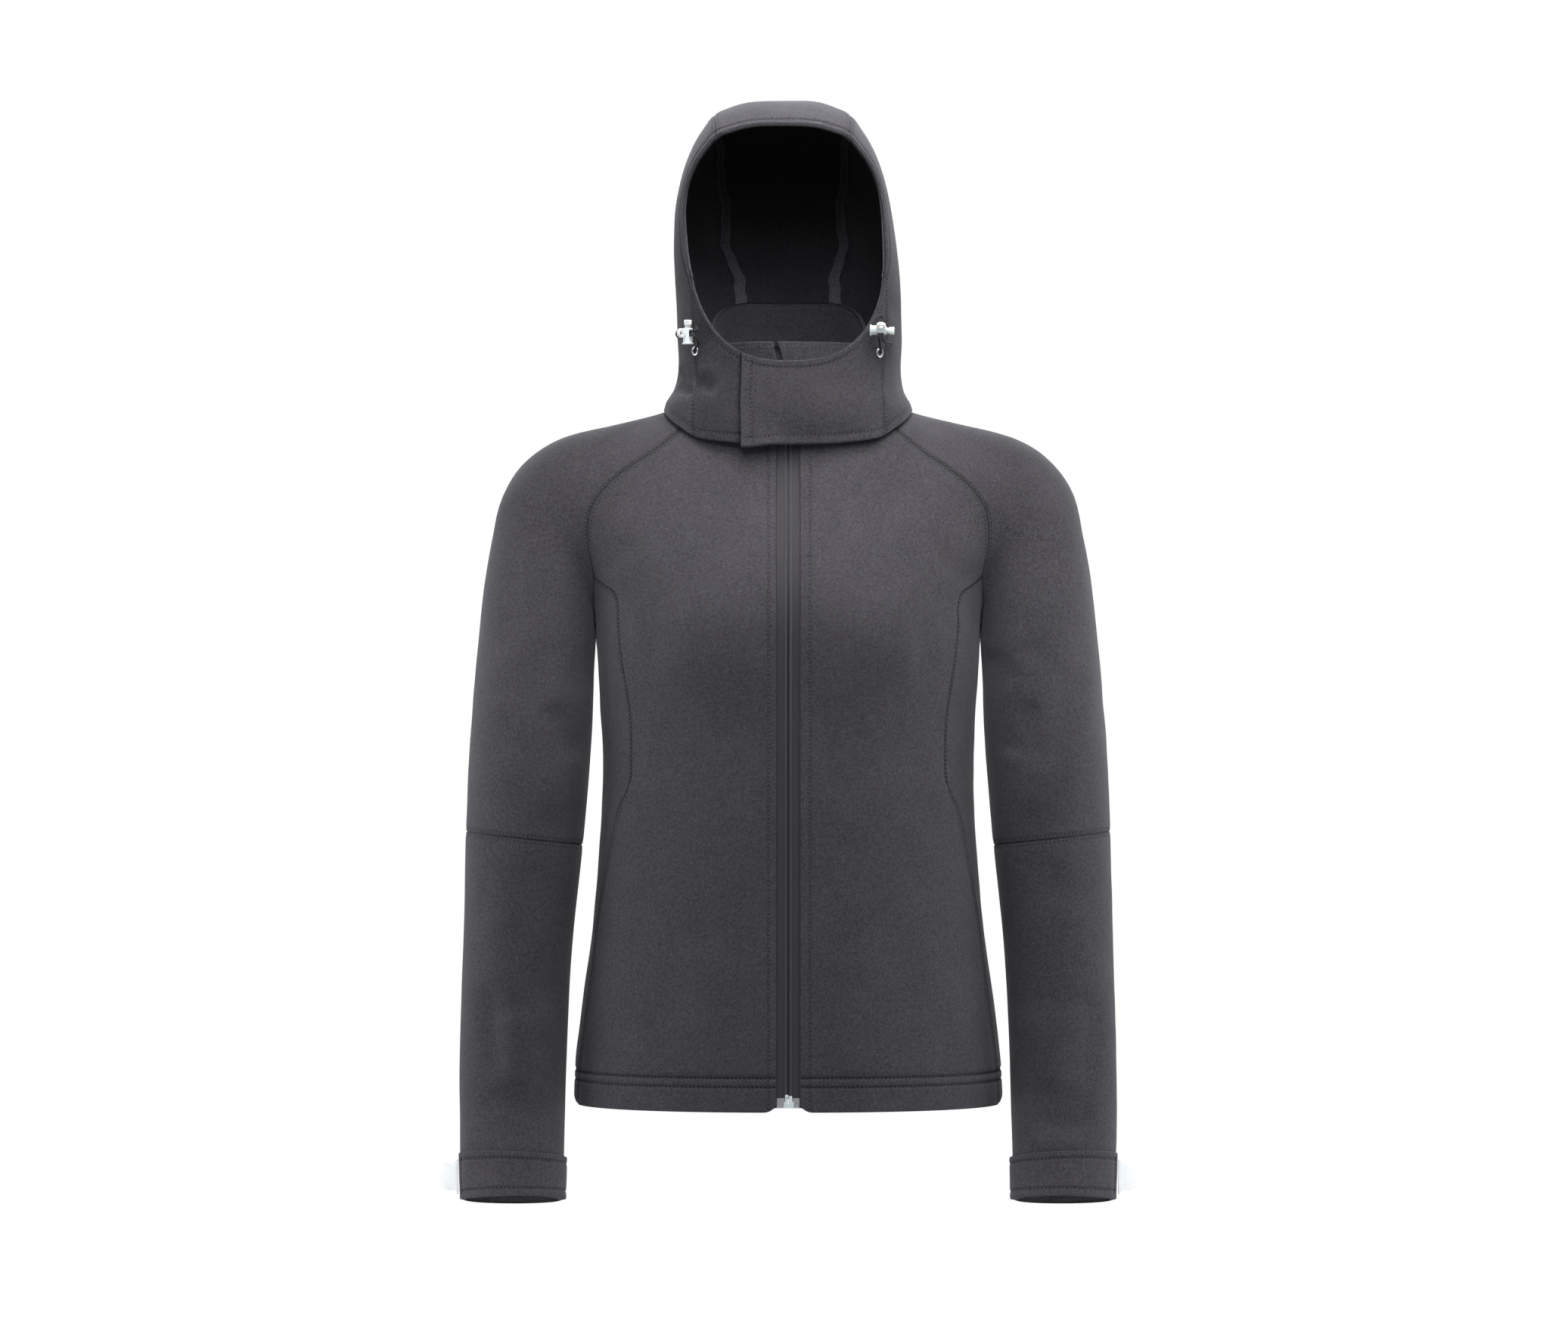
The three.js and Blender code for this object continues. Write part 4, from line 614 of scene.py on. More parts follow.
def patch(form, left, right, bottom, top, step, fine, towards=None, rows_at=()):
    """A settled grid between four curves. left and right run upwards, bottom and top across.
    Coons: (1 - u) L + u R + (1 - v) B + v T, less the four corners' own mix."""
    lengths = [arc(c)[-1] for c in (left, right, bottom, top)]
    arcs = [arc(c) / length for c, length in zip((left, right, bottom, top), lengths)]
    tall, wide = (lengths[0] + lengths[1]) / 2, (lengths[2] + lengths[3]) / 2
    own_v, own_u = np.linspace(0, 1, len(left)), np.linspace(0, 1, len(bottom))
    marks_v = ticks(tall, step, "bottom" in fine, "top" in fine, rows_at)
    marks_u = ticks(wide, step, "left" in fine, "right" in fine)
    tv = np.interp(marks_v, (arcs[0] + arcs[1]) / 2, own_v)
    tu = np.interp(marks_u, (arcs[2] + arcs[3]) / 2, own_u)
    a, b = tu[None, :, None], tv[:, None, None]
    v_left, v_right = (np.interp(tv, own_v, arcs[k])[:, None, None] for k in (0, 1))
    u_bottom, u_top = (np.interp(tu, own_u, arcs[k])[None, :, None] for k in (2, 3))
    v, u = v_left * (1 - a) + v_right * a, u_bottom * (1 - b) + u_top * b
    L, R, B, T = at(left, tv)[:, None], at(right, tv)[:, None], at(bottom, tu)[None], at(top, tu)[None]
    grid = (1 - u) * L + u * R + (1 - v) * B + v * T
    grid -= (1 - u) * (1 - v) * B[:, :1] + u * (1 - v) * B[:, -1:]
    grid -= (1 - u) * v * T[:, :1] + u * v * T[:, -1:]
    edges = grid.copy()
    if towards is not None:
        out = towards + unit(grid - towards) * REACH
        grid = meet(form, out, towards)
    else:
        rows, columns = (np.unique(np.append(np.arange(0, len(t), COARSE), len(t) - 1)) for t in (tv, tu))
        rough = grid[np.ix_(rows, columns)]
        moved = settle(form, rough) - rough
        spread = [lerp_grid(moved[..., k], tv[rows], tu[columns], tv, tu) for k in range(3)]
        grid = settle(form, grid + np.stack(spread, -1), 3)
    for cut in (np.s_[0], np.s_[-1], np.s_[:, 0], np.s_[:, -1]):
        grid[cut] = edges[cut]
    return Cloth(grid, form)


def lerp_grid(values, v, u, to_v, to_u):
    """A grid of numbers read at other rows and columns."""
    wide = np.stack([np.interp(to_u, u, row) for row in values])
    return np.stack([np.interp(to_v, v, column) for column in wide.T], 1)


# %% [markdown]
# ## Body panels
#
# The front runs from the zip to the princess and raglan seams. Its zip edge turns up a little at
# the hem.

# %%
STEP = 3.6
HEM_ROWS = (30.2, 22.2)
ALL_ROUND = ("left", "right", "bottom", "top")
ZIP_CORNER = {"lift": 4.5, "wide": 5.5, "tall": 12}
NECK_POINTS, BACK_POINTS = 60, 90
SIDE_HEM = {"in": 2.6, "tall": 9}

front_seam = join(princess_front, raglan_front[: BRANCH + 1][::-1])
neck_start = math.degrees(math.asin(ZIP_HALF / NECK["half"]))
count = len(front_seam)
neck_front = neckline(np.linspace(neck_start, RAGLAN_NECK["front"], NECK_POINTS))
zip_share = (neck_front[0, 2] - HEM_Z) / (front_seam[-1, 2] - HEM_Z)
zip_zs = HEM_Z + (front_seam[:, 2] - HEM_Z) * zip_share
zip_edge = from_front(body, np.full(count, float(ZIP_HALF)), zip_zs)
zip_edge[-1] = neck_front[0]
hem_x = np.linspace(ZIP_HALF, PRINCESS_FRONT["x"][-1], NECK_POINTS)
hem_front = from_front(body, hem_x, np.full(NECK_POINTS, float(HEM_Z)))
hem_front[-1] = front_seam[0]
front = patch(body, zip_edge, front_seam, hem_front, neck_front, STEP, ALL_ROUND, rows_at=HEM_ROWS)
near_zip = bell(front.left, ZIP_CORNER["wide"])
front.p[..., 2] += ZIP_CORNER["lift"] * near_zip * bell(front.bottom, ZIP_CORNER["tall"])

# %% [markdown]
# The side panel ends under the arm and curls in at the hem; the back is one piece.

# %%
side_top = join(raglan_front[BRANCH:], raglan_back[BRANCH:][::-1])
corner_turns = [math.atan2(seam[0, 1], seam[0, 0]) for seam in (princess_front, princess_back)]
turns = np.linspace(*corner_turns, len(side_top))
hem_side = meet(side, vec(np.cos(turns) * REACH, np.sin(turns) * REACH, HEM_Z), vec(0, 0, HEM_Z))
hem_side[0], hem_side[-1] = princess_front[0], princess_back[0]
flank = patch(side, princess_front, princess_back, hem_side, side_top, STEP, ALL_ROUND, rows_at=HEM_ROWS)
flank.move(-SIDE_HEM["in"] * np.clip(1 - flank.bottom / SIDE_HEM["tall"], 0, 1) ** 2)

back_seam = join(princess_back, raglan_back[: BRANCH + 1][::-1])
opposite = back_seam * (-1, 1, 1)
neck_back = neckline(np.linspace(RAGLAN_NECK["back"], 360 - RAGLAN_NECK["back"], BACK_POINTS))
hem_x = np.linspace(1, -1, BACK_POINTS) * PRINCESS_BACK["x"][-1]
hem_back = from_back(body, hem_x, np.full(BACK_POINTS, float(HEM_Z)))
neck_back[0], neck_back[-1] = back_seam[-1], opposite[-1]
hem_back[0], hem_back[-1] = back_seam[0], opposite[0]
back = patch(body, back_seam, opposite, hem_back, neck_back, STEP, ALL_ROUND, rows_at=HEM_ROWS)
print("body panels", front.p.shape, flank.p.shape, back.p.shape)

# %% [markdown]
# ## Sleeves
#
# Rows run from the front raglan seam over the arm to the back one, and below the underarm they
# close into rings.

# %%
elbow_middle = (ELBOW["outer"] + ELBOW["inner"]) / 2
elbow_slope = {"across": (ELBOW["outer"] - ELBOW["inner"]) / 2, "deep": 0.02}
RING, RING_POINTS, ROW_POINTS = 350, 97, 48
SHOULDER = {"mid": 2, "mid_more": 5, "depth": 34, "depth_more": 33, "reached": 1.6}


def arm_at(z):
    """The arm's centre, half width and depths at a height below the shoulder."""
    low = arm_line["z"].argsort()
    names = ("x", "half", "depth", "mid")
    return {name: np.interp(z, arm_line["z"][low], arm_line[name][low]) for name in names}


def arm_ring(z, across, deep, turns):
    """One ring of the sleeve from the inside round the front."""
    here = arm_at(z)
    away = -here["depth"] * np.sin(turns)
    aside = -here["half"] * np.cos(turns)
    level = z + across * aside / here["half"] - deep * away
    near = arm_at(level)
    return vec(near["x"] + aside, near["mid"] + away, level)


over_arm = dense(np.c_[OVERARM, np.zeros(len(OVERARM))])


def raglan_row(share, start, end, columns):
    """A row of the raglan sleeve: half an ellipse over the arm, slipped to both seam points."""
    over = at(over_arm, share)
    top = np.array([over[0], SHOULDER["mid"] + SHOULDER["mid_more"] * share, over[1]])
    middle = (start + end) / 4 + top / 2
    out = (top - middle) * (1, 0, 1)
    half = max(np.linalg.norm(out), 1e-3)
    out = out / half
    depth = SHOULDER["depth"] + SHOULDER["depth_more"] * min(share * SHOULDER["reached"], 1)
    angle = lambda p: math.atan2(abs(p[1] - middle[1]) / depth, float((middle - p) @ out) / half)
    first, last = angle(start), 2 * math.pi - angle(end)
    ahead = np.array([0, depth, 0])
    place = lambda t: middle - out * half * np.cos(t)[..., None] - ahead * np.sin(t)[..., None]
    s = np.linspace(0, 1, columns)
    slip = (start - place(np.array(first)), end - place(np.array(last)))
    row = place(first + (last - first) * s)
    return row + slip[0] * ((1 - s) ** 3)[:, None] + slip[1] * (s**3)[:, None]


def evened_rows(grid, t):
    """Every row of a grid spread evenly along its length."""
    return np.stack([evened(row, t) for row in grid])


# %%
seam_arc = arc(raglan_front)
upper_steps = ticks(seam_arc[-1], STEP, True, False)
open_t = np.interp(upper_steps, seam_arc / seam_arc[-1], np.linspace(0, 1, len(raglan_front)))
starts, ends = at(raglan_front, open_t), at(raglan_back, open_t)
columns = ticks(RING, STEP)
rows = np.stack([raglan_row(t, a, b, ROW_POINTS) for t, a, b in zip(open_t, starts, ends)])
rows = settle(body, rows, 9)
rows[:, 0], rows[:, -1] = starts, ends
rows = evened_rows(rows, columns)
inner = settle(body, rows[:, 1:-1], 3)
open_part = np.concatenate([rows[:, :1], inner, rows[:, -1:]], 1)

round_turns = np.linspace(0, 2 * math.pi, RING_POINTS)
below = ticks(UNDERARM[2] - elbow_middle, STEP, False, True)[1:]
rings = np.stack([
    arm_ring(UNDERARM[2] + (elbow_middle - UNDERARM[2]) * s, elbow_slope["across"] * s,
             elbow_slope["deep"] * s, round_turns)
    for s in below
])
rings = evened_rows(settle(arm, rings, 6), columns)
upper = Cloth(np.concatenate([open_part, settle(arm, rings, 2)]), body)
LAST_OPEN = len(open_part) - 1

# %%
lower_steps = ticks(elbow_middle - CUFF["z"], STEP)
even_columns = ticks(RING, STEP, False, False)
rings = np.stack([
    arm_ring(elbow_middle + (CUFF["z"] - elbow_middle) * s, elbow_slope["across"] * (1 - s),
             elbow_slope["deep"] + (CUFF["slope"] - elbow_slope["deep"]) * s, round_turns)
    for s in lower_steps
])
lower = Cloth(settle(arm, evened_rows(settle(arm, rings, 6), even_columns), 2), arm)
print("sleeves", upper.p.shape, lower.p.shape)

# %% [markdown]
# ## Hood
#
# The face opening is a rounded oval seen from the front: |x / half|^n + |z / reach|^n = 1.

# %%
FACE = {"half": 91, "mid": 156, "up": 91, "down": 121, "square": 2.5}
HEART = np.array([0, 5, 95], float)
SKIRT = {"drop": 39, "square": 3, "clear": 0.8, "rounds": 12, "swings": (0, 0.04, -0.04), "inward": (0, -3)}
HOOD_STRIP = table("t half", [(0, 58), (0.2, 60), (0.45, 55), (0.7, 45), (1, 38)])
CHEEK_Z = 112
CHIN_SEAM = table("x z", [(85, -30), (84.5, 0), (84.5, 45), (86, 80)])
FLAP = {"tip": -42, "rise": 2.4, "from": 24, "to": 60}
UNDERLAP_TIP = 14
SEAM_ROWS = 145


def face_x(z):
    """Half width of the face opening at a height."""
    reach = np.where(z > FACE["mid"], FACE["up"], FACE["down"])
    ratio = np.minimum(np.abs(z - FACE["mid"]) / reach, 1)
    return FACE["half"] * (1 - ratio ** FACE["square"]) ** (1 / FACE["square"])


def face_z(x, upper_part):
    """Upper or lower height of the face opening at a width."""
    drop = (1 - np.minimum(np.abs(x) / FACE["half"], 1) ** FACE["square"]) ** (1 / FACE["square"])
    return FACE["mid"] + (FACE["up"] if upper_part else -FACE["down"]) * drop


def turned(p, turn):
    """Points turned about the vertical."""
    c, s = math.cos(turn), math.sin(turn)
    return p @ np.array([[c, s, 0], [-s, c, 0], [0, 0, 1]])


def skirt(degrees):
    """The hood's lower edge: free in front, resting on the shoulders at the sides and back."""
    turn = np.radians(degrees)
    ray = vec(np.sin(turn), -np.cos(turn), 0)
    free = -SKIRT["drop"] * (1 - np.abs(np.sin(turn)) ** SKIRT["square"]) ** (1 / SKIRT["square"])
    ahead = np.cos(turn) > 0
    z = np.where(ahead, free, 0)
    for _ in range(SKIRT["rounds"]):
        p = meet(hood, ray * REACH + vec(0, 0, z), vec(0, 0, z))
        rest = np.full(z.shape, -1e9)
        for inward in SKIRT["inward"]:
            for swing in SKIRT["swings"]:
                probe = turned(p + ray * inward, swing)
                rest = np.maximum(rest, from_above(body, probe[:, 0], probe[:, 1])[:, 2])
        rest = rest + SKIRT["clear"]
        z = (z + np.where(ahead, np.maximum(free, rest), rest)) / 2
    return meet(hood, ray * REACH + vec(0, 0, z), vec(0, 0, z))


skirt_degrees = np.linspace(-60, 181, 100)
skirt_points = skirt(skirt_degrees)
skirt_at = lambda d: np.stack([np.interp(d, skirt_degrees, skirt_points[:, k]) for k in range(3)], -1)

# %% [markdown]
# The chin seam runs from the skirt up to the cheek, the strip seams from the brow over the crown
# to the nape, seen from the hood's `HEART`.

# %%
chin_points = from_front(hood, CHIN_SEAM["x"], CHIN_SEAM["z"])
chin_degrees = math.degrees(math.atan2(chin_points[0, 0], -chin_points[0, 1]))
chin_points[0] = skirt_at(chin_degrees)
cheek = from_front(hood, face_x(CHEEK_Z), float(CHEEK_Z))
chin_seam = dense(np.concatenate([chin_points, [cheek]]), hood)

NAPE, BROW_X = 149, 58
brow = from_front(hood, float(BROW_X), face_z(float(BROW_X), True))
nape = skirt_at(NAPE)
angle_of = lambda p: math.atan2(p[2] - HEART[2], -(p[1] - HEART[1]))
t = np.linspace(0, 1, SEAM_ROWS)
turn = angle_of(brow) * (1 - t) + (angle_of(nape) + 2 * math.pi) * t
middle = vec(read(HOOD_STRIP, "t", "half", t), HEART[1], HEART[2])
strip_seam = meet(hood, vec(0, -np.cos(turn), np.sin(turn)) * REACH + middle, middle)
strip_seam[0], strip_seam[-1] = brow, nape

opposite = strip_seam * (-1, 1, 1)
brow_x = np.linspace(BROW_X, -BROW_X, 59)
brow_line = from_front(hood, brow_x, face_z(brow_x, True))
degrees = np.linspace(NAPE, 180, 30)
half_nape = skirt_at(degrees)
nape_line = join(half_nape, (half_nape * (-1, 1, 1))[::-1])
strip = patch(hood, strip_seam, opposite, brow_line, nape_line, STEP, ("left", "right", "bottom"), HEART)

face_zs = np.linspace(CHEEK_Z, brow[2], 80)
face_line = from_front(hood, face_x(face_zs), face_zs)
face_line[-1] = brow
chin_down = evened(chin_seam[::-1], np.linspace(0, 1, SEAM_ROWS))
side_skirt = skirt_at(np.linspace(chin_degrees, NAPE, 80))
cheeks = patch(hood, chin_down, strip_seam, face_line, side_skirt, STEP, ("left", "right", "bottom"), HEART)


# %%
CHIN = {"ahead": 95, "points": 60}


def chin_piece(tip):
    """A chin piece from its seam to its free end."""
    s = np.linspace(0, 1, SEAM_ROWS)
    seam = evened(chin_seam, s)
    tip_degrees = math.degrees(math.atan2(tip, CHIN["ahead"]))
    bottom = skirt_at(np.linspace(chin_degrees, tip_degrees, CHIN["points"]))
    x = np.linspace(seam[-1, 0], tip, CHIN["points"])
    top = from_front(hood, x, face_z(x, False))
    top[0] = seam[-1]
    end = settle(hood, bottom[-1] * (1 - s[:, None]) + top[-1] * s[:, None], 4)
    return patch(hood, seam, end, bottom, top, STEP, ALL_ROUND, HEART)


flap = chin_piece(FLAP["tip"])
flap.move(FLAP["rise"] * smooth(-FLAP["to"], -FLAP["from"], -flap.p[..., 0]))
underlap = chin_piece(-UNDERLAP_TIP)
print("hood", strip.p.shape, cheeks.p.shape, flap.p.shape, underlap.p.shape)

# %% [markdown]
# ## Sewing
#
# Each panel is copied to the other side before it is creased, because the creases differ. The
# rows of stitches follow the photo: both sides of the raglan and panel seams, both sides of the
# elbow seam, two deep rows over the hem, one row beside each free edge.

# %%
def other_side(cloth):
    """The same grid on the wearer's other side."""
    copy = Cloth.__new__(Cloth)
    copy.__dict__ = dict(cloth.__dict__)
    copy.p, copy.n = cloth.p * (-1, 1, 1), cloth.n * (-1, 1, 1)
    copy.rows = []
    return copy


def lean(cloth):
    """The hood leans a little to the wearer's right as it goes up."""
    cloth.p = cloth.p + vec(read(HOOD_LEAN, "z", "x", cloth.p[..., 2]), 0, 0)
    return cloth


def pairs(name, base):
    """A cloth grid for the left and its mirror for the right."""
    return {f"{name}_left": base, f"{name}_right": other_side(base)}


panels = {**pairs("front", front), **pairs("side", flank), "back": back,
          **pairs("sleeve_upper", upper), **pairs("sleeve_lower", lower)}
TACK_Z, HOOK_Z, BACK_HOOK_Z = -343, -168, -165
# painted shade: a dark line along the folded zip edge of each front
FOLD_EDGE_SHADE = {"dark": 0.6, "wide": 0.7}


def height_share(cloth, column, z):
    """Share of a grid's rows at which one of its columns reaches a height."""
    return float(np.abs(cloth.p[:, column, 2] - z).argmin()) / (len(cloth.p) - 1)


# %% [markdown]
# A panel seam is topstitched on both sides. Above the bar tack it is sewn; below it, along the
# pocket opening, its edge is folded.

# %%
for number, (name, cloth) in enumerate(panels.items()):
    cloth.crease(1.7 if name.startswith("sleeve") else 1.0, seed=11 * number + 3)
    if name.startswith("front"):
        tack, hook = height_share(cloth, -1, TACK_Z), height_share(cloth, -1, HOOK_Z)
        cloth.seam("right", 1.3, start=tack).fold("right", 1.7, stop=tack)
        cloth.seam("top").fold("left").fold("bottom")
        cloth.stitch("left", 9.0 if name.endswith("left") else 7.5)
        # painted shade: a narrow dark line along the front's folded edge beside the zip
        cloth.shade = cloth.shade + FOLD_EDGE_SHADE["dark"] * bell(cloth.left, FOLD_EDGE_SHADE["wide"])
        cloth.stitch("right", 4.0, 0.0, tack - 0.01, dent=0.6)
        cloth.stitch("right", 1.9, tack + 0.01, hook).stitch("right", 3.4, hook + 0.02, 1)
    if name.startswith("side"):
        tack = height_share(cloth, 0, TACK_Z)
        cloth.seam("left", 1.3, start=tack).seam("left", 2.4, 2.6, stop=tack, dark=0.8)
        cloth.seam("right").seam("top").fold("bottom")
        cloth.stitch("left", 1.5, tack + 0.01, 1).stitch("right", 1.9)
    if name == "back":
        cloth.seam("left").seam("right").seam("top").fold("bottom")
    if name.startswith(("front", "side", "back")):
        cloth.stitch("bottom", HEM_ROWS[0], dent=1.3, spread=1.3)
        cloth.stitch("bottom", HEM_ROWS[1], dent=1.1, spread=1.2)
    if name.startswith("sleeve_upper"):
        cloth.seam("left").seam("right").seam("bottom").seam("top", 1.2, 1.1)
        cloth.stitch("top", 3.2)
        open_share = LAST_OPEN * 0.72 / (len(cloth.p) - 1)
        cloth.stitch("left", 2.4, 0, open_share).stitch("right", 2.4, 0, open_share)
    if name.startswith("sleeve_lower"):
        cloth.seam("bottom", 1.2, 1.1).fold("top")
        cloth.stitch("bottom", 3.2).stitch("top", 5)

back_hook = height_share(panels["back"], 0, BACK_HOOK_Z)
for edge in ("left", "right"):
    panels["back"].stitch(edge, 1.9, 0, back_hook).stitch(edge, 3.4, back_hook + 0.02, 1)

# %% [markdown]
# The hood's lining gets painted shade, darker towards the crown. Its strip is flat between two standing seams.

# %%
CROWN_SEAM = {"rise": 2.4, "wide": 11, "from": 60, "to": 150}
CROWN_FLAT = {"drop": 2.4, "wide": 30, "from": 170, "to": 250}

hood_panels = {"hood_strip": strip, **pairs("hood_side", cheeks)}
for number, (name, cloth) in enumerate(hood_panels.items()):
    is_strip = name == "hood_strip"
    cloth.crease(0.8, seed=101 + 7 * number)
    # painted shade inside the hood, darker towards the crown
    cloth.inner_shade = (0.7 if is_strip else 0.35) * smooth(100, 190, cloth.p[..., 2])
    if is_strip:
        flat = bell(cloth.p[..., 0], CROWN_FLAT["wide"])
        cloth.move(-CROWN_FLAT["drop"] * flat * smooth(CROWN_FLAT["from"], CROWN_FLAT["to"], cloth.p[..., 2]))
    cloth.fold("bottom", 1.8)
    cloth.stitch("bottom", 6.4, dent=1.0, spread=1.3)
    for edge in ("left", "right") if is_strip else ("right",):
        near = bell(cloth.way(edge), CROWN_SEAM["wide"])
        high = smooth(CROWN_SEAM["from"], CROWN_SEAM["to"], cloth.p[..., 2])
        cloth.move(CROWN_SEAM["rise"] * near * high)
        cloth.stitch(edge, 3.2, dent=0.6)
    cloth.seam("left").seam("right")
    if not is_strip:
        cloth.stitch("left", 3.2).stitch("top", 8, dent=0.6)
hood_panels["chin_flap"] = flap
hood_panels["chin_underlap"] = other_side(underlap)

# %% [markdown]
# The flap's free end stands off a little and hangs lower. Towards the zip, flap and underlap both
# tuck in under the chin.

# %%
FREE_END = {"stand": 1.8, "wide": 10, "lower_stand": 1.2, "tall": 8, "hang": 4}
TUCK = {"flap": 5, "flap_tall": 17, "under": 5.4, "under_tall": 19}
UNDER_SHADE = {"all": 0.24, "edge": 0.6, "wide": 2.2, "covered": 6}

flap.crease(0.5, seed=131).seam("left", 1.0)
stand = FREE_END["stand"] * bell(flap.right, FREE_END["wide"])
flap.move(stand + FREE_END["lower_stand"] * bell(flap.bottom, FREE_END["tall"]))
flap.p[..., 2] -= FREE_END["hang"] * smooth(5, 42, -flap.p[..., 0]) * smooth(70, 0, flap.bottom)
flap_x = flap.p[..., 0]
tucked = smooth(-20, 4, flap_x) * smooth(78, 46, flap_x)
flap.move(-TUCK["flap"] * tucked * bell(flap.bottom, TUCK["flap_tall"]))
under = hood_panels["chin_underlap"]
under.move(-TUCK["under"] * smooth(-26, 0, under.p[..., 0]) * bell(under.bottom, TUCK["under_tall"]))
flap.fold("right").fold("bottom").fold("top").stitch("left", 3.0)
flap.stitch("right", 9.5, 0.07, 0.93).stitch("bottom", 7.5, 0, 0.93).stitch("top", 6.6, 0, 0.93)
under.crease(1.0, seed=137).seam("left", 1.0).fold("right").fold("bottom").fold("top")
under.stitch("left", 3.0).stitch("bottom", 7.5).stitch("top", 6.6)
flap_edge = under.p[..., 0] - FLAP["tip"]
edge_shade = bell(np.minimum(flap_edge, 0), UNDER_SHADE["wide"]) * (flap_edge < UNDER_SHADE["covered"])
under.shade = under.shade + UNDER_SHADE["all"] + UNDER_SHADE["edge"] * edge_shade
for cloth in hood_panels.values():
    lean(cloth)

# %% [markdown]
# ## Collar
#
# Two layers that stand on the neckline, higher at the back. Both ends lean in above the zip.

# %%
COLLAR = {"half": 71, "front": 70, "back": 65, "front_z": 53, "back_z": 95, "thick": 2.4, "end": 5.3,
          "points": 150, "wide": 420, "tall": 80}
COLLAR_LEAN = {"left": 15, "right": 8, "wide": 26, "power": 1.5}
SEAM_GAP, LAY_GAP = 0.3, 0.4
TAPE = {"thick": 0.9, "bottom": 4, "top": 49}


def collar_point(degrees, up):
    """Point of the collar at a turn from the centre front, up from its foot (0) to its top (1)."""
    turn = np.radians(degrees)
    depth = np.where(np.cos(turn) > 0, COLLAR["front"], COLLAR["back"])
    behind = smooth(0.25, 0.95, (1 - np.cos(turn)) / 2)
    z = COLLAR["front_z"] + (COLLAR["back_z"] - COLLAR["front_z"]) * behind
    top = vec(COLLAR["half"] * np.sin(turn), -depth * np.cos(turn), z)
    base = neckline(degrees) + (0, 0, SEAM_GAP + LAY_GAP)
    return base + (top - base) * np.asarray(up)[..., None]


def grid_normals(grid, centre):
    """Outward directions from a grid's own neighbours: the cross product of its two ways."""
    across = np.gradient(grid, axis=1)
    up = np.gradient(grid, axis=0)
    n = unit(np.cross(across, up))
    flip = np.sign(((grid - centre) * n).sum(-1))
    return n * flip[..., None]


def plain_cloth(grid, normals):
    """A cloth grid whose outward directions are given."""
    cloth = Cloth(grid, torso)
    cloth.n = normals
    return cloth


end = math.degrees(math.asin(COLLAR["end"] / COLLAR["half"]))
degrees = np.linspace(end, 360 - end, COLLAR["points"])
around, rise = (collar_point(degrees, np.full(COLLAR["points"], up)) for up in (0.0, 1.0))
grid = around[None] + (rise - around)[None] * ticks(COLLAR["tall"], 4)[:, None, None]
grid = evened_rows(grid, ticks(COLLAR["wide"], 3.0))
collar = plain_cloth(grid, grid_normals(grid, np.array([0, 0, 40.0])))
lift = (collar.bottom / collar.bottom[-1:]) ** COLLAR_LEAN["power"]
for edge in ("left", "right"):
    near = bell(collar.way(edge), COLLAR_LEAN["wide"])
    collar.p[..., 0] -= COLLAR_LEAN[edge] * near * lift
collar.move(0.4 * uneven(grid, 34, 5)).fold("top", 1.2).fold("left", 1.2).fold("right", 1.2)

# %% [markdown]
# ## Cuff straps
#
# Each strap lies on its cuff from the inside round the front, and widens towards its grip.

# %%
STRAP = {"tall": 37, "long": 155, "from": -0.2, "to": 2.88, "off": 0.8, "above": 0.6, "fan": (4.32, -1.44)}


def strap_point(share, up):
    """Point of a cuff strap: its share of the way round the cuff, and up from 0 to 1."""
    turn = STRAP["from"] + (STRAP["to"] - STRAP["from"]) * share
    z = CUFF["z"] + STRAP["tall"] * up + STRAP["above"]
    here = arm_at(z)
    away = -here["depth"] * np.sin(turn)
    x = here["x"] - here["half"] * np.cos(turn)
    return settle(arm, vec(x, here["mid"] + away, z - CUFF["slope"] * away))


s, up = np.meshgrid(ticks(STRAP["long"], 3.4), ticks(STRAP["tall"], 3))
strap = Cloth(strap_point(s, up), arm).move(CLOTH + STRAP["off"])
strap.p[..., 2] += (STRAP["fan"][0] * up + STRAP["fan"][1]) * smooth(0.15, 0.85, s)
straps = pairs("cuff_strap", strap)
for number, cloth in enumerate(straps.values()):
    cloth.move(0.35 * uneven(cloth.p, 24, 201 + number))
    for edge in ALL_ROUND:
        cloth.fold(edge, 1.4)
    cloth.stitch("top", 6, 0, 0.95, dent=0.9).stitch("bottom", 7, 0, 0.95, dent=0.9)
    cloth.stitch("right", 6.5, 0.18, 0.84, dent=0.9)

# %% [markdown]
# ## Meshes
#
# A cloth grid becomes a mesh with its outer face, its inner face and its rims. The shade that
# gathers in seams and stitch rows goes along as an attribute for the material.

# %%
def mesh_object(name, points, faces, materials, smooth_shade=True, **attributes):
    """A mesh object from millimetre points, with one value a point for each attribute."""
    mesh = bpy.data.meshes.new(name)
    mesh.from_pydata((np.asarray(points) * MM).tolist(), [], [list(map(int, f)) for f in faces])
    for key, values in attributes.items():
        layer = mesh.attributes.new(key, "FLOAT", "POINT")
        layer.data.foreach_set("value", np.asarray(values, np.float32).ravel())
    for material in materials:
        mesh.materials.append(material)
    if smooth_shade:
        mesh.shade_smooth()
    obj = bpy.data.objects.new(name, mesh)
    bpy.context.scene.collection.objects.link(obj)
    return obj


def grid_faces(rows, columns):
    """The four-sided faces between a grid's points."""
    i = np.arange(rows * columns).reshape(rows, columns)
    return np.stack([i[:-1, :-1], i[:-1, 1:], i[1:, 1:], i[1:, :-1]], -1).reshape(-1, 4)
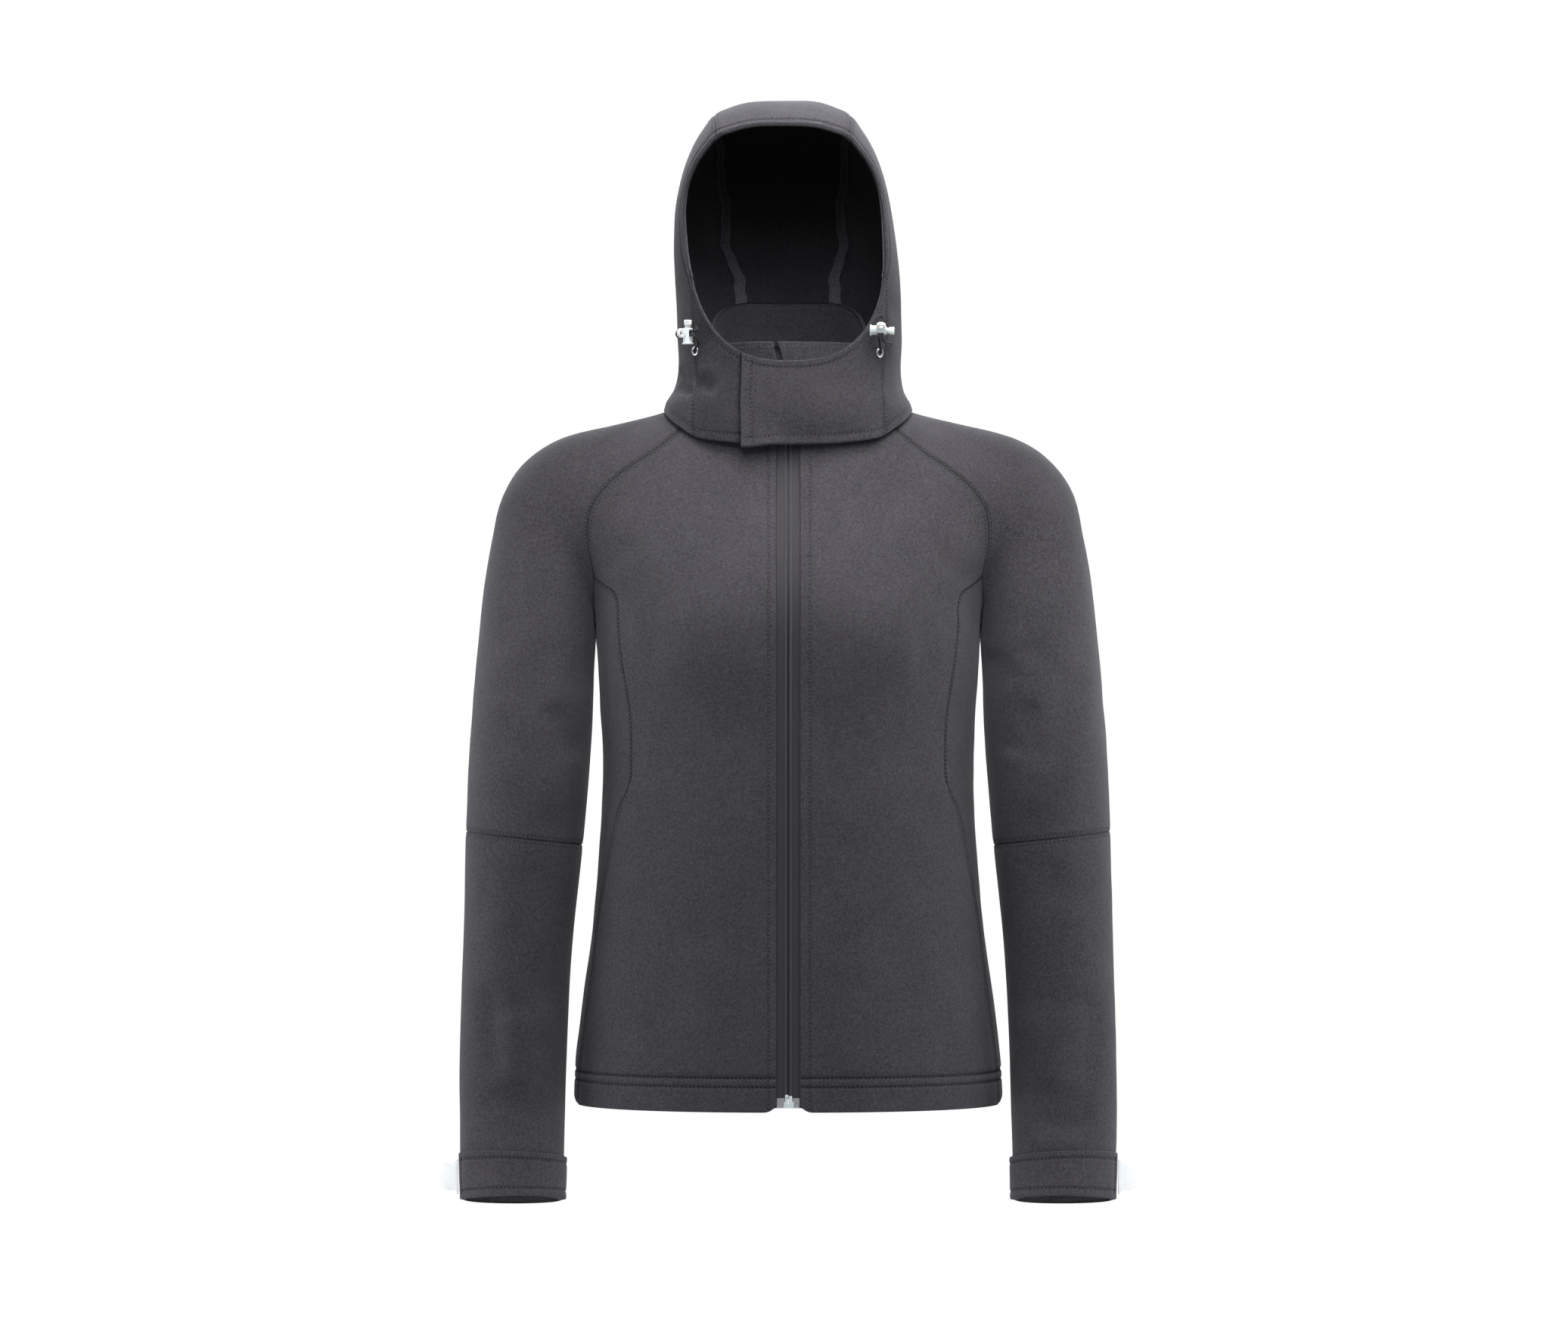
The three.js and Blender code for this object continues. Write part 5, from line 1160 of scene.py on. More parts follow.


# %% [markdown]
# ## Sheets
#
# Each cloth grid becomes a sheet of two layers joined at its rims.


def cloth_object(name, cloth, materials, thick, cad_node):
    """Outer and inner layer of a cloth grid, joined along its rims."""
    rows, columns = cloth.p.shape[:2]
    outer = cloth.p.reshape(-1, 3)
    inner = (cloth.p - cloth.n * thick).reshape(-1, 3)
    faces = grid_faces(rows, columns)
    middle = faces[len(faces) // 2 + columns // 2]
    a, b, c = outer[middle[0]], outer[middle[1]], outer[middle[3]]
    outward = np.cross(b - a, c - a) @ cloth.n.reshape(-1, 3)[middle[0]] > 0
    faces = faces if outward else faces[:, ::-1]
    count = rows * columns
    i = np.arange(count).reshape(rows, columns)
    rim = []
    for edge, flip in ((i[0], False), (i[-1], True), (i[:, 0], True), (i[:, -1], False)):
        band = np.stack([edge[:-1], edge[:-1] + count, edge[1:] + count, edge[1:]], -1)
        rim.append(band[:, ::-1] if flip != outward else band)
    rim = np.concatenate(rim)
    total = np.concatenate([faces, faces[:, ::-1] + count, rim])
    shade = np.clip(cloth.shade, 0, 0.85).ravel()
    obj = mesh_object(name, np.concatenate([outer, inner]), total, materials,
                      shade=np.concatenate([shade, cloth.inner_shade.ravel()]))
    index = np.zeros(len(total), np.int32)
    index[len(faces) : 2 * len(faces)] = 1
    obj.data.polygons.foreach_set("material_index", index)
    if cad_node:
        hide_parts(cad_node)
    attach(obj, "jacket")
    return obj


# %% [markdown]
# ## Stitches
#
# A row's stitches are one small rounded thread, copied at an even pitch along the row.

# %%
STITCH = {"pitch": 3.65, "long": 2.0, "wide": 0.36, "high": 0.3, "lift": 0.12}


def stitch_template():
    """A short rounded thread: two rings of six and two tips."""
    turn = np.arange(6) * math.pi / 3
    ring = lambda x, r: np.c_[np.full(6, x), r * np.cos(turn), r * np.sin(turn)]
    points = np.concatenate([[[-0.5, 0, -0.8]], ring(-0.28, 0.9), ring(0.28, 0.9), [[0.5, 0, -0.8]]])
    faces = [[0, 1 + (k + 1) % 6, 1 + k] for k in range(6)]
    faces += [[1 + k, 1 + (k + 1) % 6, 7 + (k + 1) % 6, 7 + k] for k in range(6)]
    faces += [[13, 7 + k, 7 + (k + 1) % 6] for k in range(6)]
    return points, faces


def stitches_along(points, normals):
    """Stitch centres and axes at an even pitch along a row."""
    length = arc(points)
    if length[-1] < STITCH["pitch"]:
        return []
    count = int(length[-1] / STITCH["pitch"])
    where = (np.arange(count) + 0.5) * length[-1] / count
    read_at = lambda values, s: np.stack([np.interp(s, length, values[:, k]) for k in range(3)], -1)
    centre, n = read_at(points, where), unit(read_at(normals, where))
    ahead = unit(read_at(points, where + 1.0) - read_at(points, where - 1.0))
    n = unit(n - ahead * (n * ahead).sum(-1, keepdims=True))
    side_way = np.cross(n, ahead)
    sizes = (ahead * STITCH["long"], side_way * STITCH["wide"], n * STITCH["high"])
    return list(zip(centre + n * STITCH["lift"], *sizes))


def thread_object(name, stitches, material):
    """All stitches of a piece as one mesh: centre + x long + y side + z high of the template."""
    points, faces = stitch_template()
    all_points = np.concatenate([c + points[:, :1] * a + points[:, 1:2] * b + points[:, 2:] * h
                                 for c, a, b, h in stitches])
    all_faces = [[v + len(points) * k for v in face] for k in range(len(stitches)) for face in faces]
    obj = mesh_object(name, all_points, all_faces, [material])
    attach(obj, "jacket")
    print(name, len(stitches), "stitches")


def sewn(clothes):
    """The stitches of every row of some cloth grids."""
    found = []
    for cloth in clothes:
        for edge, away, start, stop in cloth.rows:
            points, normals = cloth.line(edge, away, start, stop)
            if len(points) > 1:
                found += stitches_along(points, normals)
    return found


# %% [markdown]
# ## Materials
#
# `node` makes a shader node: a value that is another node's socket is linked, any other is set.

# %%
def linear(*levels):
    """Display colour levels from 0 to 255 as linear light: ((c + 0.055) / 1.055)^2.4."""
    return tuple(((c / 255 + 0.055) / 1.055) ** 2.4 for c in levels) + (1.0,)


def feed(tree, target, value):
    """Links a socket to an input, or sets the input's own value."""
    if isinstance(value, bpy.types.NodeSocket):
        tree.links.new(value, target)
    else:
        target.default_value = value


def node(tree, kind, **values):
    """A node of a kind; underscores stand for the spaces in the names of its inputs."""
    made = tree.nodes.new(kind)
    for key, value in values.items():
        if key.replace("_", " ") in made.inputs:
            feed(tree, made.inputs[key.replace("_", " ")], value)
        else:
            setattr(made, key, value)
    return made


def maths(tree, operation, *operands):
    """A Math node's result."""
    made = node(tree, "ShaderNodeMath", operation=operation)
    for target, value in zip(made.inputs, operands):
        feed(tree, target, value)
    return made.outputs[0]


def mixed(tree, share, first, second, **values):
    """A colour Mix node's result: its factor is input 0, its colours are inputs 6 and 7."""
    made = node(tree, "ShaderNodeMix", data_type="RGBA", **values)
    for index, value in ((0, share), (6, first), (7, second)):
        feed(tree, made.inputs[index], value)
    return made.outputs[2]


def noise(tree, scale, detail, **values):
    """A noise laid on Object coordinates."""
    place = node(tree, "ShaderNodeTexCoord").outputs["Object"]
    return node(tree, "ShaderNodeTexNoise", Vector=place, Scale=scale, Detail=detail, **values).outputs["Fac"]


def new_material(name):
    """A material with its tree and its Principled shader."""
    material = bpy.data.materials.new(name)
    material.use_nodes = True
    return material, material.node_tree, material.node_tree.nodes["Principled BSDF"]


# %% [markdown]
# The nap is one node group: its colour varies by blotch, tuft and fibre, and tufts and fibres
# also raise it.

# %%
NAP_NOISES = ((28, 2, 0.5, 0.1), (450, 3, 0.7, 0.55), (1500, 2, 0.6, 0.35))


def nap_group():
    """Node group: a fleece-like nap, mixed from Dark to Light by the weighted noises."""
    group = bpy.data.node_groups.new("nap", "ShaderNodeTree")
    for name, way, kind in (("Dark", "INPUT", "Color"), ("Light", "INPUT", "Color"),
                            ("Depth", "INPUT", "Float"), ("Color", "OUTPUT", "Color"),
                            ("Normal", "OUTPUT", "Vector")):
        group.interface.new_socket(name, in_out=way, socket_type="NodeSocket" + kind)
    into, out = group.nodes.new("NodeGroupInput").outputs, group.nodes.new("NodeGroupOutput").inputs
    noises = [noise(group, scale, detail, Roughness=rough) for scale, detail, rough, _ in NAP_NOISES]
    total = None
    for value, (*_, weight) in zip(noises, NAP_NOISES):
        scaled = maths(group, "MULTIPLY", value, weight)
        total = scaled if total is None else maths(group, "ADD", total, scaled)
    span = node(group, "ShaderNodeMapRange", Value=total, From_Min=0.34, From_Max=0.66)
    feed(group, out["Color"], mixed(group, span.outputs["Result"], into["Dark"], into["Light"]))
    height = maths(group, "ADD", noises[1], noises[2])
    bump = node(group, "ShaderNodeBump", Strength=0.8, Distance=into["Depth"], Height=height)
    feed(group, out["Normal"], bump.outputs["Normal"])
    return group


NAP = nap_group()


def cloth_material(name, dark, light, depth, sheen):
    """Napped cloth, darkened by the painted shade of its shade attribute, with a soft sheen at grazing angles.
    """
    material, tree, shader = new_material(name)
    nap = tree.nodes.new("ShaderNodeGroup")
    nap.node_tree = NAP
    for key, value in (("Dark", dark), ("Light", light), ("Depth", depth)):
        nap.inputs[key].default_value = value
    shade = node(tree, "ShaderNodeAttribute", attribute_name="shade").outputs["Fac"]
    near = node(tree, "ShaderNodeMapRange", Value=shade, From_Min=0.0, From_Max=1.0, To_Min=1.0, To_Max=0.0)
    colour = mixed(tree, 1.0, nap.outputs["Color"], near.outputs["Result"], blend_type="MULTIPLY")
    for key, value in (("Base Color", colour), ("Normal", nap.outputs["Normal"]), ("Roughness", 0.95),
                       ("Specular IOR Level", 0.15), ("Sheen Weight", sheen), ("Sheen Roughness", 0.45),
                       ("Sheen Tint", (0.75, 0.75, 0.8, 1))):
        feed(tree, shader.inputs[key], value)
    return material


def plain_material(name, colour, rough, metal=0.0, grain=0.0, grain_scale=600, **more):
    """One colour with a fine grain in tone, roughness and relief."""
    material, tree, shader = new_material(name)
    fine = noise(tree, grain_scale, 3)
    tones = [tuple(min(c * (1 + sign * grain), 1) for c in colour[:3]) + (1,) for sign in (-1, 1)]
    span = node(tree, "ShaderNodeMapRange", Value=fine, To_Min=rough * 0.85, To_Max=min(rough * 1.2, 1))
    bump = node(tree, "ShaderNodeBump", Strength=0.5, Distance=0.00004, Height=fine)
    for key, value in (("Base Color", mixed(tree, fine, *tones)), ("Roughness", span.outputs["Result"]),
                       ("Normal", bump.outputs["Normal"]), ("Metallic", metal)):
        feed(tree, shader.inputs[key], value)
    for key, value in more.items():
        shader.inputs[key.replace("_", " ")].default_value = value
    return material


SHELL = cloth_material("shell", linear(42, 41, 45), linear(75, 73, 78), 0.00035, 0.14)
FLEECE = cloth_material("fleece", linear(40, 39, 43), linear(66, 64, 69), 0.0006, 0.03)
THREAD = plain_material("thread", linear(76, 74, 80), 0.8, grain=0.25, grain_scale=1500)
ZIP_TAPE = plain_material("zip_tape", linear(45, 43, 48), 0.85, grain=0.5, grain_scale=1400)
COIL = plain_material("coil", linear(74, 72, 78), 0.5, grain=0.2)
DARK = plain_material("coil_core", linear(14, 14, 16), 0.7, grain=0.2)
CORD_MATERIAL = plain_material("elastic", linear(30, 30, 33), 0.75, grain=0.4, grain_scale=1800)
METAL = plain_material("nickel", (0.62, 0.62, 0.64, 1), 0.25, metal=1.0, grain=0.05)
CLEAR = plain_material("milky_plastic", (0.93, 0.93, 0.93, 1), 0.18, grain=0.02,
                       Transmission_Weight=0.2, Subsurface_Weight=0.3, IOR=1.49)
FILM = plain_material("film", (0.75, 0.76, 0.8, 1), 0.2, grain=0.05, Alpha=0.25)
TAPE_CLOTH = cloth_material("seam_tape", linear(74, 72, 78), linear(112, 110, 117), 0.0002, 0.05)

# %% [markdown]
# ## The sewn cloth
#
# Every panel is made, with napped fleece inside, and then its stitches and the two bar tacks.

# %%
for name, cloth in {**panels, **hood_panels, "collar": collar, **straps}.items():
    inside, thick = (SHELL, COLLAR["thick"]) if name == "collar" else (FLEECE, CLOTH)
    cloth_object(name + "_cloth", cloth, [SHELL, inside], thick, name)
thread_object("body_stitches", sewn(panels.values()), THREAD)

BAR_TACK = {"long": 6.5, "threads": 13, "column": -3, "off": 0.35, "wide": 2.4, "slant": 0.5, "thread": 0.34,
            "high": 0.42}


def bar_tack(cloth, z):
    """Satin stitches over the top of a pocket opening: short threads laid side by side."""
    j, column = int(np.abs(cloth.p[:, -1, 2] - z).argmin()), BAR_TACK["column"]
    p, n = cloth.p[j, column], cloth.n[j, column]
    up = unit(cloth.p[j + 1, column] - cloth.p[j - 1, column])
    thread = (np.cross(n, up) * BAR_TACK["wide"] + up * BAR_TACK["slant"], up * BAR_TACK["thread"],
              n * BAR_TACK["high"])
    marks = (np.arange(BAR_TACK["threads"]) / (BAR_TACK["threads"] - 1) - 0.5) * BAR_TACK["long"]
    return [(p + up * m + n * BAR_TACK["off"], *thread) for m in marks]


tacks = [thread for way in ("left", "right") for thread in bar_tack(panels["front_" + way], TACK_Z)]
thread_object("pocket_bar_tacks", tacks, THREAD)
thread_object("trim_stitches", sewn([*hood_panels.values(), *straps.values()]), THREAD)

# %% [markdown]
# ## Hard pieces
#
# Small helpers: a profile turned round an axis, a rounded block, a cut, and a tube along a path.

# %%
def ring_faces(rings, sides):
    """Quads between rings of points that follow each other."""
    return [[j * sides + k, j * sides + (k + 1) % sides, (j + 1) * sides + (k + 1) % sides, (j + 1) * sides + k]
            for j in range(rings - 1) for k in range(sides)]


def lathe(profile, sides=40):
    """Closed rings from (radius, height) pairs: x = r cos t, y = r sin t."""
    turn = np.arange(sides) * 2 * math.pi / sides
    points = np.concatenate([np.c_[r * np.cos(turn), r * np.sin(turn), np.full(sides, z)] for r, z in profile])
    ends = [list(range(sides))[::-1], [len(points) - sides + k for k in range(sides)]]
    return points, ring_faces(len(profile), sides) + ends


def block(wide, deep, tall, centre=(0, 0, 0)):
    """The eight corners and six faces of a block."""
    points = [(x, y, z) for x in (-0.5, 0.5) for y in (-0.5, 0.5) for z in (-0.5, 0.5)]
    points = np.array(points) * (wide, deep, tall) + centre
    return points, [(0, 1, 3, 2), (4, 6, 7, 5), (0, 4, 5, 1), (2, 3, 7, 6), (0, 2, 6, 4), (1, 5, 7, 3)]


def solid(name, shape, material, place=None):
    """A closed mesh object, moved by a rotation and an origin in millimetres."""
    points, faces = shape
    points = np.asarray(points, float)
    if place is not None:
        turn, origin = place
        points = points @ turn + origin
    return mesh_object(name, points, faces, [material], False)


def baked(obj):
    """Applies an object's modifiers to its mesh."""
    graph = bpy.context.evaluated_depsgraph_get()
    mesh = bpy.data.meshes.new_from_object(obj.evaluated_get(graph))
    obj.modifiers.clear()
    obj.data = mesh
    return obj


def combine(obj, other, how):
    """Joins (UNION) or cuts (DIFFERENCE) one object by another, which is used up."""
    cut = obj.modifiers.new("cut", "BOOLEAN")
    cut.operation, cut.object, cut.solver = how, other, "EXACT"
    baked(obj)
    bpy.data.objects.remove(other)
    return obj


EDGE_ANGLE, SHARP_ANGLE = math.radians(35), math.radians(40)


def rounded(obj, radius, segments=3):
    """Rounds every edge over EDGE_ANGLE and shades the rest smooth."""
    bevel = obj.modifiers.new("round", "BEVEL")
    bevel.width, bevel.segments = radius * MM, segments
    bevel.limit_method, bevel.angle_limit = "ANGLE", EDGE_ANGLE
    baked(obj)
    obj.data.shade_smooth()
    obj.data.set_sharp_from_angle(angle=SHARP_ANGLE)
    return obj


def hard_piece(obj, node_name, body_name="jacket"):
    """Hides a made piece's CAD node and puts the piece on its body."""
    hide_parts(node_name)
    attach(obj, body_name)


def tube(points, radius, sides=14):
    """Rings round a path, each turned least from the one before."""
    ahead = unit(np.gradient(points, axis=0))
    side_way = unit(np.cross(ahead[0], [0.3, 0.2, 1.0]))
    turn = np.arange(sides) * 2 * math.pi / sides
    rings = []
    for p, a in zip(points, ahead):
        side_way = unit(side_way - a * (side_way @ a))
        other = np.cross(a, side_way)
        rings.append(p + radius * (np.cos(turn)[:, None] * side_way + np.sin(turn)[:, None] * other))
    ends = [list(range(sides))[::-1], [(len(points) - 1) * sides + k for k in range(sides)]]
    return np.concatenate(rings), ends + ring_faces(len(points), sides)


# %% [markdown]
# ## Zip
#
# A reverse coil zip: the tapes lie behind the folded front edges, each with a ribbed band over
# its coil. At the bottom are the box, two pins and the clear film that stiffens the tape ends.

# %%
collar_foot = collar_point(np.zeros(1), np.zeros(1))[0, 2]


def closed_front(x, z):
    """Point, outward direction and cloth depth of the closed front: up the body, then the collar."""
    low = from_front(body, x, np.minimum(z, collar_foot))
    n = slope(body, low)
    n[..., 0] = 0
    turn = np.degrees(np.arcsin(x / COLLAR["half"]))
    up = np.clip((z - collar_foot) / (COLLAR["front_z"] - collar_foot), 0, 1)
    y = collar_point(turn, up)[..., 1]
    on_collar = (z >= collar_foot)[..., None]
    point = np.where(on_collar, vec(x, y, z), low)
    n = np.where(on_collar, np.array([0, -1.0, 0]), unit(n))
    return point, n, np.where(z >= collar_foot, COLLAR["thick"] + LAY_GAP, CLOTH)


def zip_strip(xs, zs, deeper):
    """A cloth grid behind the closed front, deeper by some millimetres."""
    x, z = np.meshgrid(xs, zs)
    point, n, depth = closed_front(x, z)
    return plain_cloth(point - n * (depth + LAY_GAP + deeper)[..., None], n)


tape_foot = HEM_Z + TAPE["bottom"]
zs = np.append(np.arange(tape_foot, collar_foot - 2, 4.0), np.linspace(collar_foot + 1, TAPE["top"], 9))
xs = np.array([0.6, 0.8, 1.1, 1.5, 2.4, 3.3, 3.7, 4.1, 4.6, 6, 7.5, 9, 11, 13, 15])
tape = zip_strip(xs, zs, 0)
band = smooth(0.5, 1.2, xs) * (1 - smooth(3.4, 4.2, xs))
tape.move(0.28 * band[None] * np.ones((len(zs), 1)))
for name, cloth in pairs("zip_tape", tape).items():
    cloth_object(name + "_weave", cloth, [ZIP_TAPE, ZIP_TAPE], TAPE["thick"], name)

# %% [markdown]
# Ribs show on the band, the coil's teeth mesh between the tapes, and a dark core lies behind.

# %%
PITCH, CHAIN_TOP = 1.36, 26
rib_zs = np.arange(tape_foot + 9, CHAIN_TOP, PITCH)


def ribs(x, long, wide, high, deeper, shift=0.0):
    """A ladder of small rounded bars across the zip, at one pitch."""
    point, n, depth = closed_front(np.full(len(rib_zs), float(x)), rib_zs + shift)
    centre = point - n * (depth + LAY_GAP + deeper)[:, None]
    across = np.tile([1.0, 0, 0], (len(centre), 1))
    up = np.cross(n, across)
    return list(zip(centre, across * long, up * wide, n * high))


bars = [bar for x in (2.25, -2.25) for bar in ribs(x, 1.9, 0.5, 0.45, -0.3)]
thread_object("zip_ribs", bars, COIL)
teeth = ribs(1.35, 1.5, 0.4, 0.45, 0.3) + ribs(-1.35, 1.5, 0.4, 0.45, 0.3, PITCH / 2)
thread_object("zip_teeth", teeth, COIL)
core_zs = np.append(np.arange(tape_foot + 8, 22, 4.0), 23.5)
core = zip_strip(np.linspace(-2.4, 2.4, 5), core_zs, TAPE["thick"] + LAY_GAP)
cloth_object("zip_core", core, [DARK, DARK], 1.4, "zip_chain")

# %% [markdown]
# The box with its notch, the two pins and the eye; then the clear film over the tape ends.

# %%
seat = from_front(body, 0.0, float(HEM_Z + 7))[1] + CLOTH
box = solid("zip_box_moulded", block(8.8, 1.7, 5.4, (0.4, seat - 0.95, -620.2)), CLEAR)
for name, how, *size, x, deep, z in (
    ("notch", "DIFFERENCE", 0.7, 3, 3.2, 0.5, 1.6, -618.4),
    ("pin", "UNION", 2.7, 1.5, 8.4, -1.3, 1.0, -615.4),
    ("pin", "UNION", 2.7, 1.5, 7.4, 2.0, 1.0, -615.9),
    ("eye", "DIFFERENCE", 0.8, 3, 1.3, -1.3, 1.6, -614.4),
):
    combine(box, solid(name, block(*size, (x, seat - deep, z)), CLEAR), how)
hard_piece(rounded(box, 0.3), "zip_box")

film_zs = np.linspace(-622.8, -614.2, 5)
film = zip_strip(np.array([0.9, 1.6, 4.6, 5.2, 7, 9, 12, 14.6]), film_zs, -0.45)
for name, cloth in pairs("zip_film", film).items():
    cloth_object(name, cloth, [FILM, FILM], 0.15, None)

# %% [markdown]
# ## Cuff grips
#
# A flat moulded tab with rounded corners, set on the end of each strap.

# %%
GRIP = {"out": 18, "tall": 31, "tip": 23, "thick": 1.6, "corner": 6, "tuck": 1.7, "lean": 0.25, "aside": 0.75}

root, near_root = strap_point(np.array([1.0, 0.97]), np.array([0.5, 0.5]))
normal = unit(slope(arm, root))
along = unit((root - near_root) * (1, 1, 0))
start = root + normal * (CLOTH / 2 + STRAP["off"])
out = unit(along * GRIP["lean"] + np.array([GRIP["aside"], 0, 0]))
half, tip, r = GRIP["tall"] / 2, GRIP["tip"] / 2, GRIP["corner"]
bend = np.linspace(-math.pi / 2, 0, 9)
lower_half = [(GRIP["tuck"], -half), (GRIP["tuck"] + 1.2, -half), (GRIP["out"] * 0.3, -tip - 0.6),
              (GRIP["out"] * 0.42, -tip)]
lower_half += [(GRIP["out"] - r + r * math.cos(t), -tip + r + r * math.sin(t)) for t in bend]
outline = np.array(lower_half + [(x, -y) for x, y in lower_half[::-1]])
layers = [np.c_[outline, np.full(len(outline), d)] for d in (-GRIP["thick"] / 2, GRIP["thick"] / 2)]
n_out = len(outline)
plate_faces = [list(range(n_out))[::-1], [n_out + k for k in range(n_out)]]
plate_faces += [[k, (k + 1) % n_out, n_out + (k + 1) % n_out, n_out + k] for k in range(n_out)]
axes = np.array([out, [0, 0, 1.0], unit(np.cross(out, [0, 0, 1.0]))])
plate = np.concatenate(layers) @ axes + start
for sign, name in ((1, "left"), (-1, "right")):
    faces = plate_faces if sign > 0 else [f[::-1] for f in plate_faces]
    grip = solid(f"cuff_grip_{name}_moulded", (plate * (sign, 1, 1), faces), CLEAR)
    hard_piece(rounded(grip, 0.55), f"cuff_grip_{name}")

# %% [markdown]
# ## Eyelets, cord locks and cords
#
# Each lock has its own axes: z along its barrel, y along the cord, x away from its lug.

# %%
EYELET = {"outer": 4.4, "hole": 2.4, "thick": 0.8, "off": 0.4, "sides": 48}
LOCK = {"radius": 4.25, "foot": -9.8, "floor": -8.2, "rim": 4.8, "bore": 2.95, "play": 0.35, "cap": 12,
        "cap_radius": 3.5, "travel": 2.5, "slot_wide": 3.2, "slot_tall": 6.4, "lane": 1.55, "lug": 4.1,
        "lug_hole": 2, "lug_out": 7.4}
CORD_RADIUS = 1.2
PLACES = {
    "right": {"at": (-89, -66, 60), "barrel": (0, 0, 1), "cord": (-0.62, 0.78, 0), "sag": (4.5, -4, 1.5),
              "eyelet": (-84, 45), "edge": (-82, 66)},
    "left": {"at": (82, -77.5, 62), "barrel": (1, 0, -0.03), "cord": (0, 0.5, 0.866), "sag": (0, -2, 0),
             "eyelet": (79.5, 43), "edge": (90, 52)},
}


def lock_axes(place):
    """Rows x, y, z of a lock's own axes: z along the barrel, y along the cord, the lug at -x."""
    z = unit(np.array(place["barrel"], float))
    y = np.array(place["cord"], float)
    y = unit(y - z * (y @ z))
    return np.array([np.cross(y, z), y, z])


def on_hood(x, z, off):
    """A point off the leaning hood, seen from the front, and its outward direction."""
    p = from_front(hood, float(x), float(z))
    n = unit(slope(hood, p))
    p = p + n * off
    p[0] += read(HOOD_LEAN, "z", "x", p[2])
    return p, n


def centripetal(points, fine):
    """Catmull-Rom curve with knots a square root of the distance apart, as in the CAD part."""
    points = np.asarray(points, float)
    first, last = 2 * points[0] - points[1], 2 * points[-1] - points[-2]
    p = np.concatenate([[first], points, [last]])
    curve = []
    for i in range(1, len(p) - 2):
        p0, p1, p2, p3 = p[i - 1 : i + 3]
        d0, d1, d2 = (max(np.linalg.norm(b - a) ** 0.5, 1e-4) for a, b in ((p0, p1), (p1, p2), (p2, p3)))
        m1 = ((p1 - p0) / d0 - (p2 - p0) / (d0 + d1) + (p2 - p1) / d1) * d1
        m2 = ((p2 - p1) / d1 - (p3 - p1) / (d1 + d2) + (p3 - p2) / d2) * d1
        t = np.linspace(0, 1, fine, endpoint=False)[:, None]
        curve.append((2 * t**3 - 3 * t**2 + 1) * p1 + (t**3 - 2 * t**2 + t) * m1
                     + (3 * t**2 - 2 * t**3) * p2 + (t**3 - t**2) * m2)
    return np.concatenate(curve + [points[-1:]])


def tightest_bend(path):
    """Smallest radius along a path in millimetres: r = step / turn."""
    step = np.diff(path, axis=0)
    length = np.linalg.norm(step, axis=1)
    ahead = step / length[:, None]
    turn = np.arccos(np.clip((ahead[1:] * ahead[:-1]).sum(1), -1, 1))
    return round(float(((length[1:] + length[:-1]) / 2 / np.maximum(turn, 1e-6)).min()), 2)


# %% [markdown]
# The lock's barrel is turned, with a lug at its side and a slot across for the cord. The plunger
# is turned too, and leaves its travel and a little play free in the barrel.

# %%
def lock(name, place):
    """A barrel and its plunger, cut and rounded."""
    at_lock = (lock_axes(place), np.array(place["at"], float))
    part = lambda title, shape: solid(title, shape, CLEAR, at_lock)
    radius, foot, rim, bore = (LOCK[key] for key in ("radius", "foot", "rim", "bore"))
    cap, cap_r, travel, lug, lug_out = (LOCK[key] for key in ("cap", "cap_radius", "travel", "lug", "lug_out"))
    barrel = part(f"cord_lock_{name}_moulded", lathe([
        (radius - 0.5, foot), (radius + 0.5, foot + 0.05), (radius + 0.9, foot + 0.5),
        (radius + 0.9, foot + 1.1), (radius + 0.3, foot + 1.5), (radius, foot + 2), (radius, rim - 0.6),
        (radius - 0.2, rim - 0.15), (radius - 0.5, rim), (bore + 0.3, rim), (bore, rim - 0.3),
        (bore, LOCK["floor"]),
    ]))
    swap = np.array([[1, 0, 0], [0, 0, 1], [0, -1, 0]], float)
    lying = lambda shape, x: (shape[0] @ swap + (x, 0, 0), shape[1])
    disc = lathe([(lug - 0.5, -1.7), (lug, -1.2), (lug, 1.2), (lug - 0.5, 1.7)])
    ear = part("lug", lying(disc, -lug_out))
    combine(ear, part("keep", block(2 * lug_out, 9, 9, (-lug_out - bore - 0.6, 0, 0))), "INTERSECT")
    combine(barrel, ear, "UNION")
    hole = lathe([(LOCK["lug_hole"], -4), (LOCK["lug_hole"], 4)], 24)
    combine(barrel, part("eye", lying(hole, -lug_out - 0.6)), "DIFFERENCE")
    combine(barrel, part("slot", block(LOCK["slot_wide"], 30, LOCK["slot_tall"])), "DIFFERENCE")
    hard_piece(rounded(barrel, 0.25), f"cord_lock_{name}")

    stem_r, stem_z, skirt_z = bore - LOCK["play"], LOCK["floor"] + travel + LAY_GAP, rim + travel + LAY_GAP
    plunger = part(f"lock_plunger_{name}_moulded", lathe([
        (stem_r, stem_z), (stem_r, skirt_z), (cap_r, skirt_z), (cap_r, skirt_z + 0.9),
        (cap_r - 0.35, skirt_z + 1.2), (cap_r - 0.35, cap - 2.1), (cap_r, cap - 1.8), (cap_r, cap - 0.7),
        (cap_r - 0.3, cap - 0.2), (cap_r - 0.9, cap),
    ]))
    through = block(LOCK["slot_wide"], 30, LOCK["slot_tall"] + travel, (0, 0, travel / 2))
    combine(plunger, part("hole", through), "DIFFERENCE")
    hard_piece(rounded(plunger, 0.2), f"lock_plunger_{name}", f"plunger_{name}")


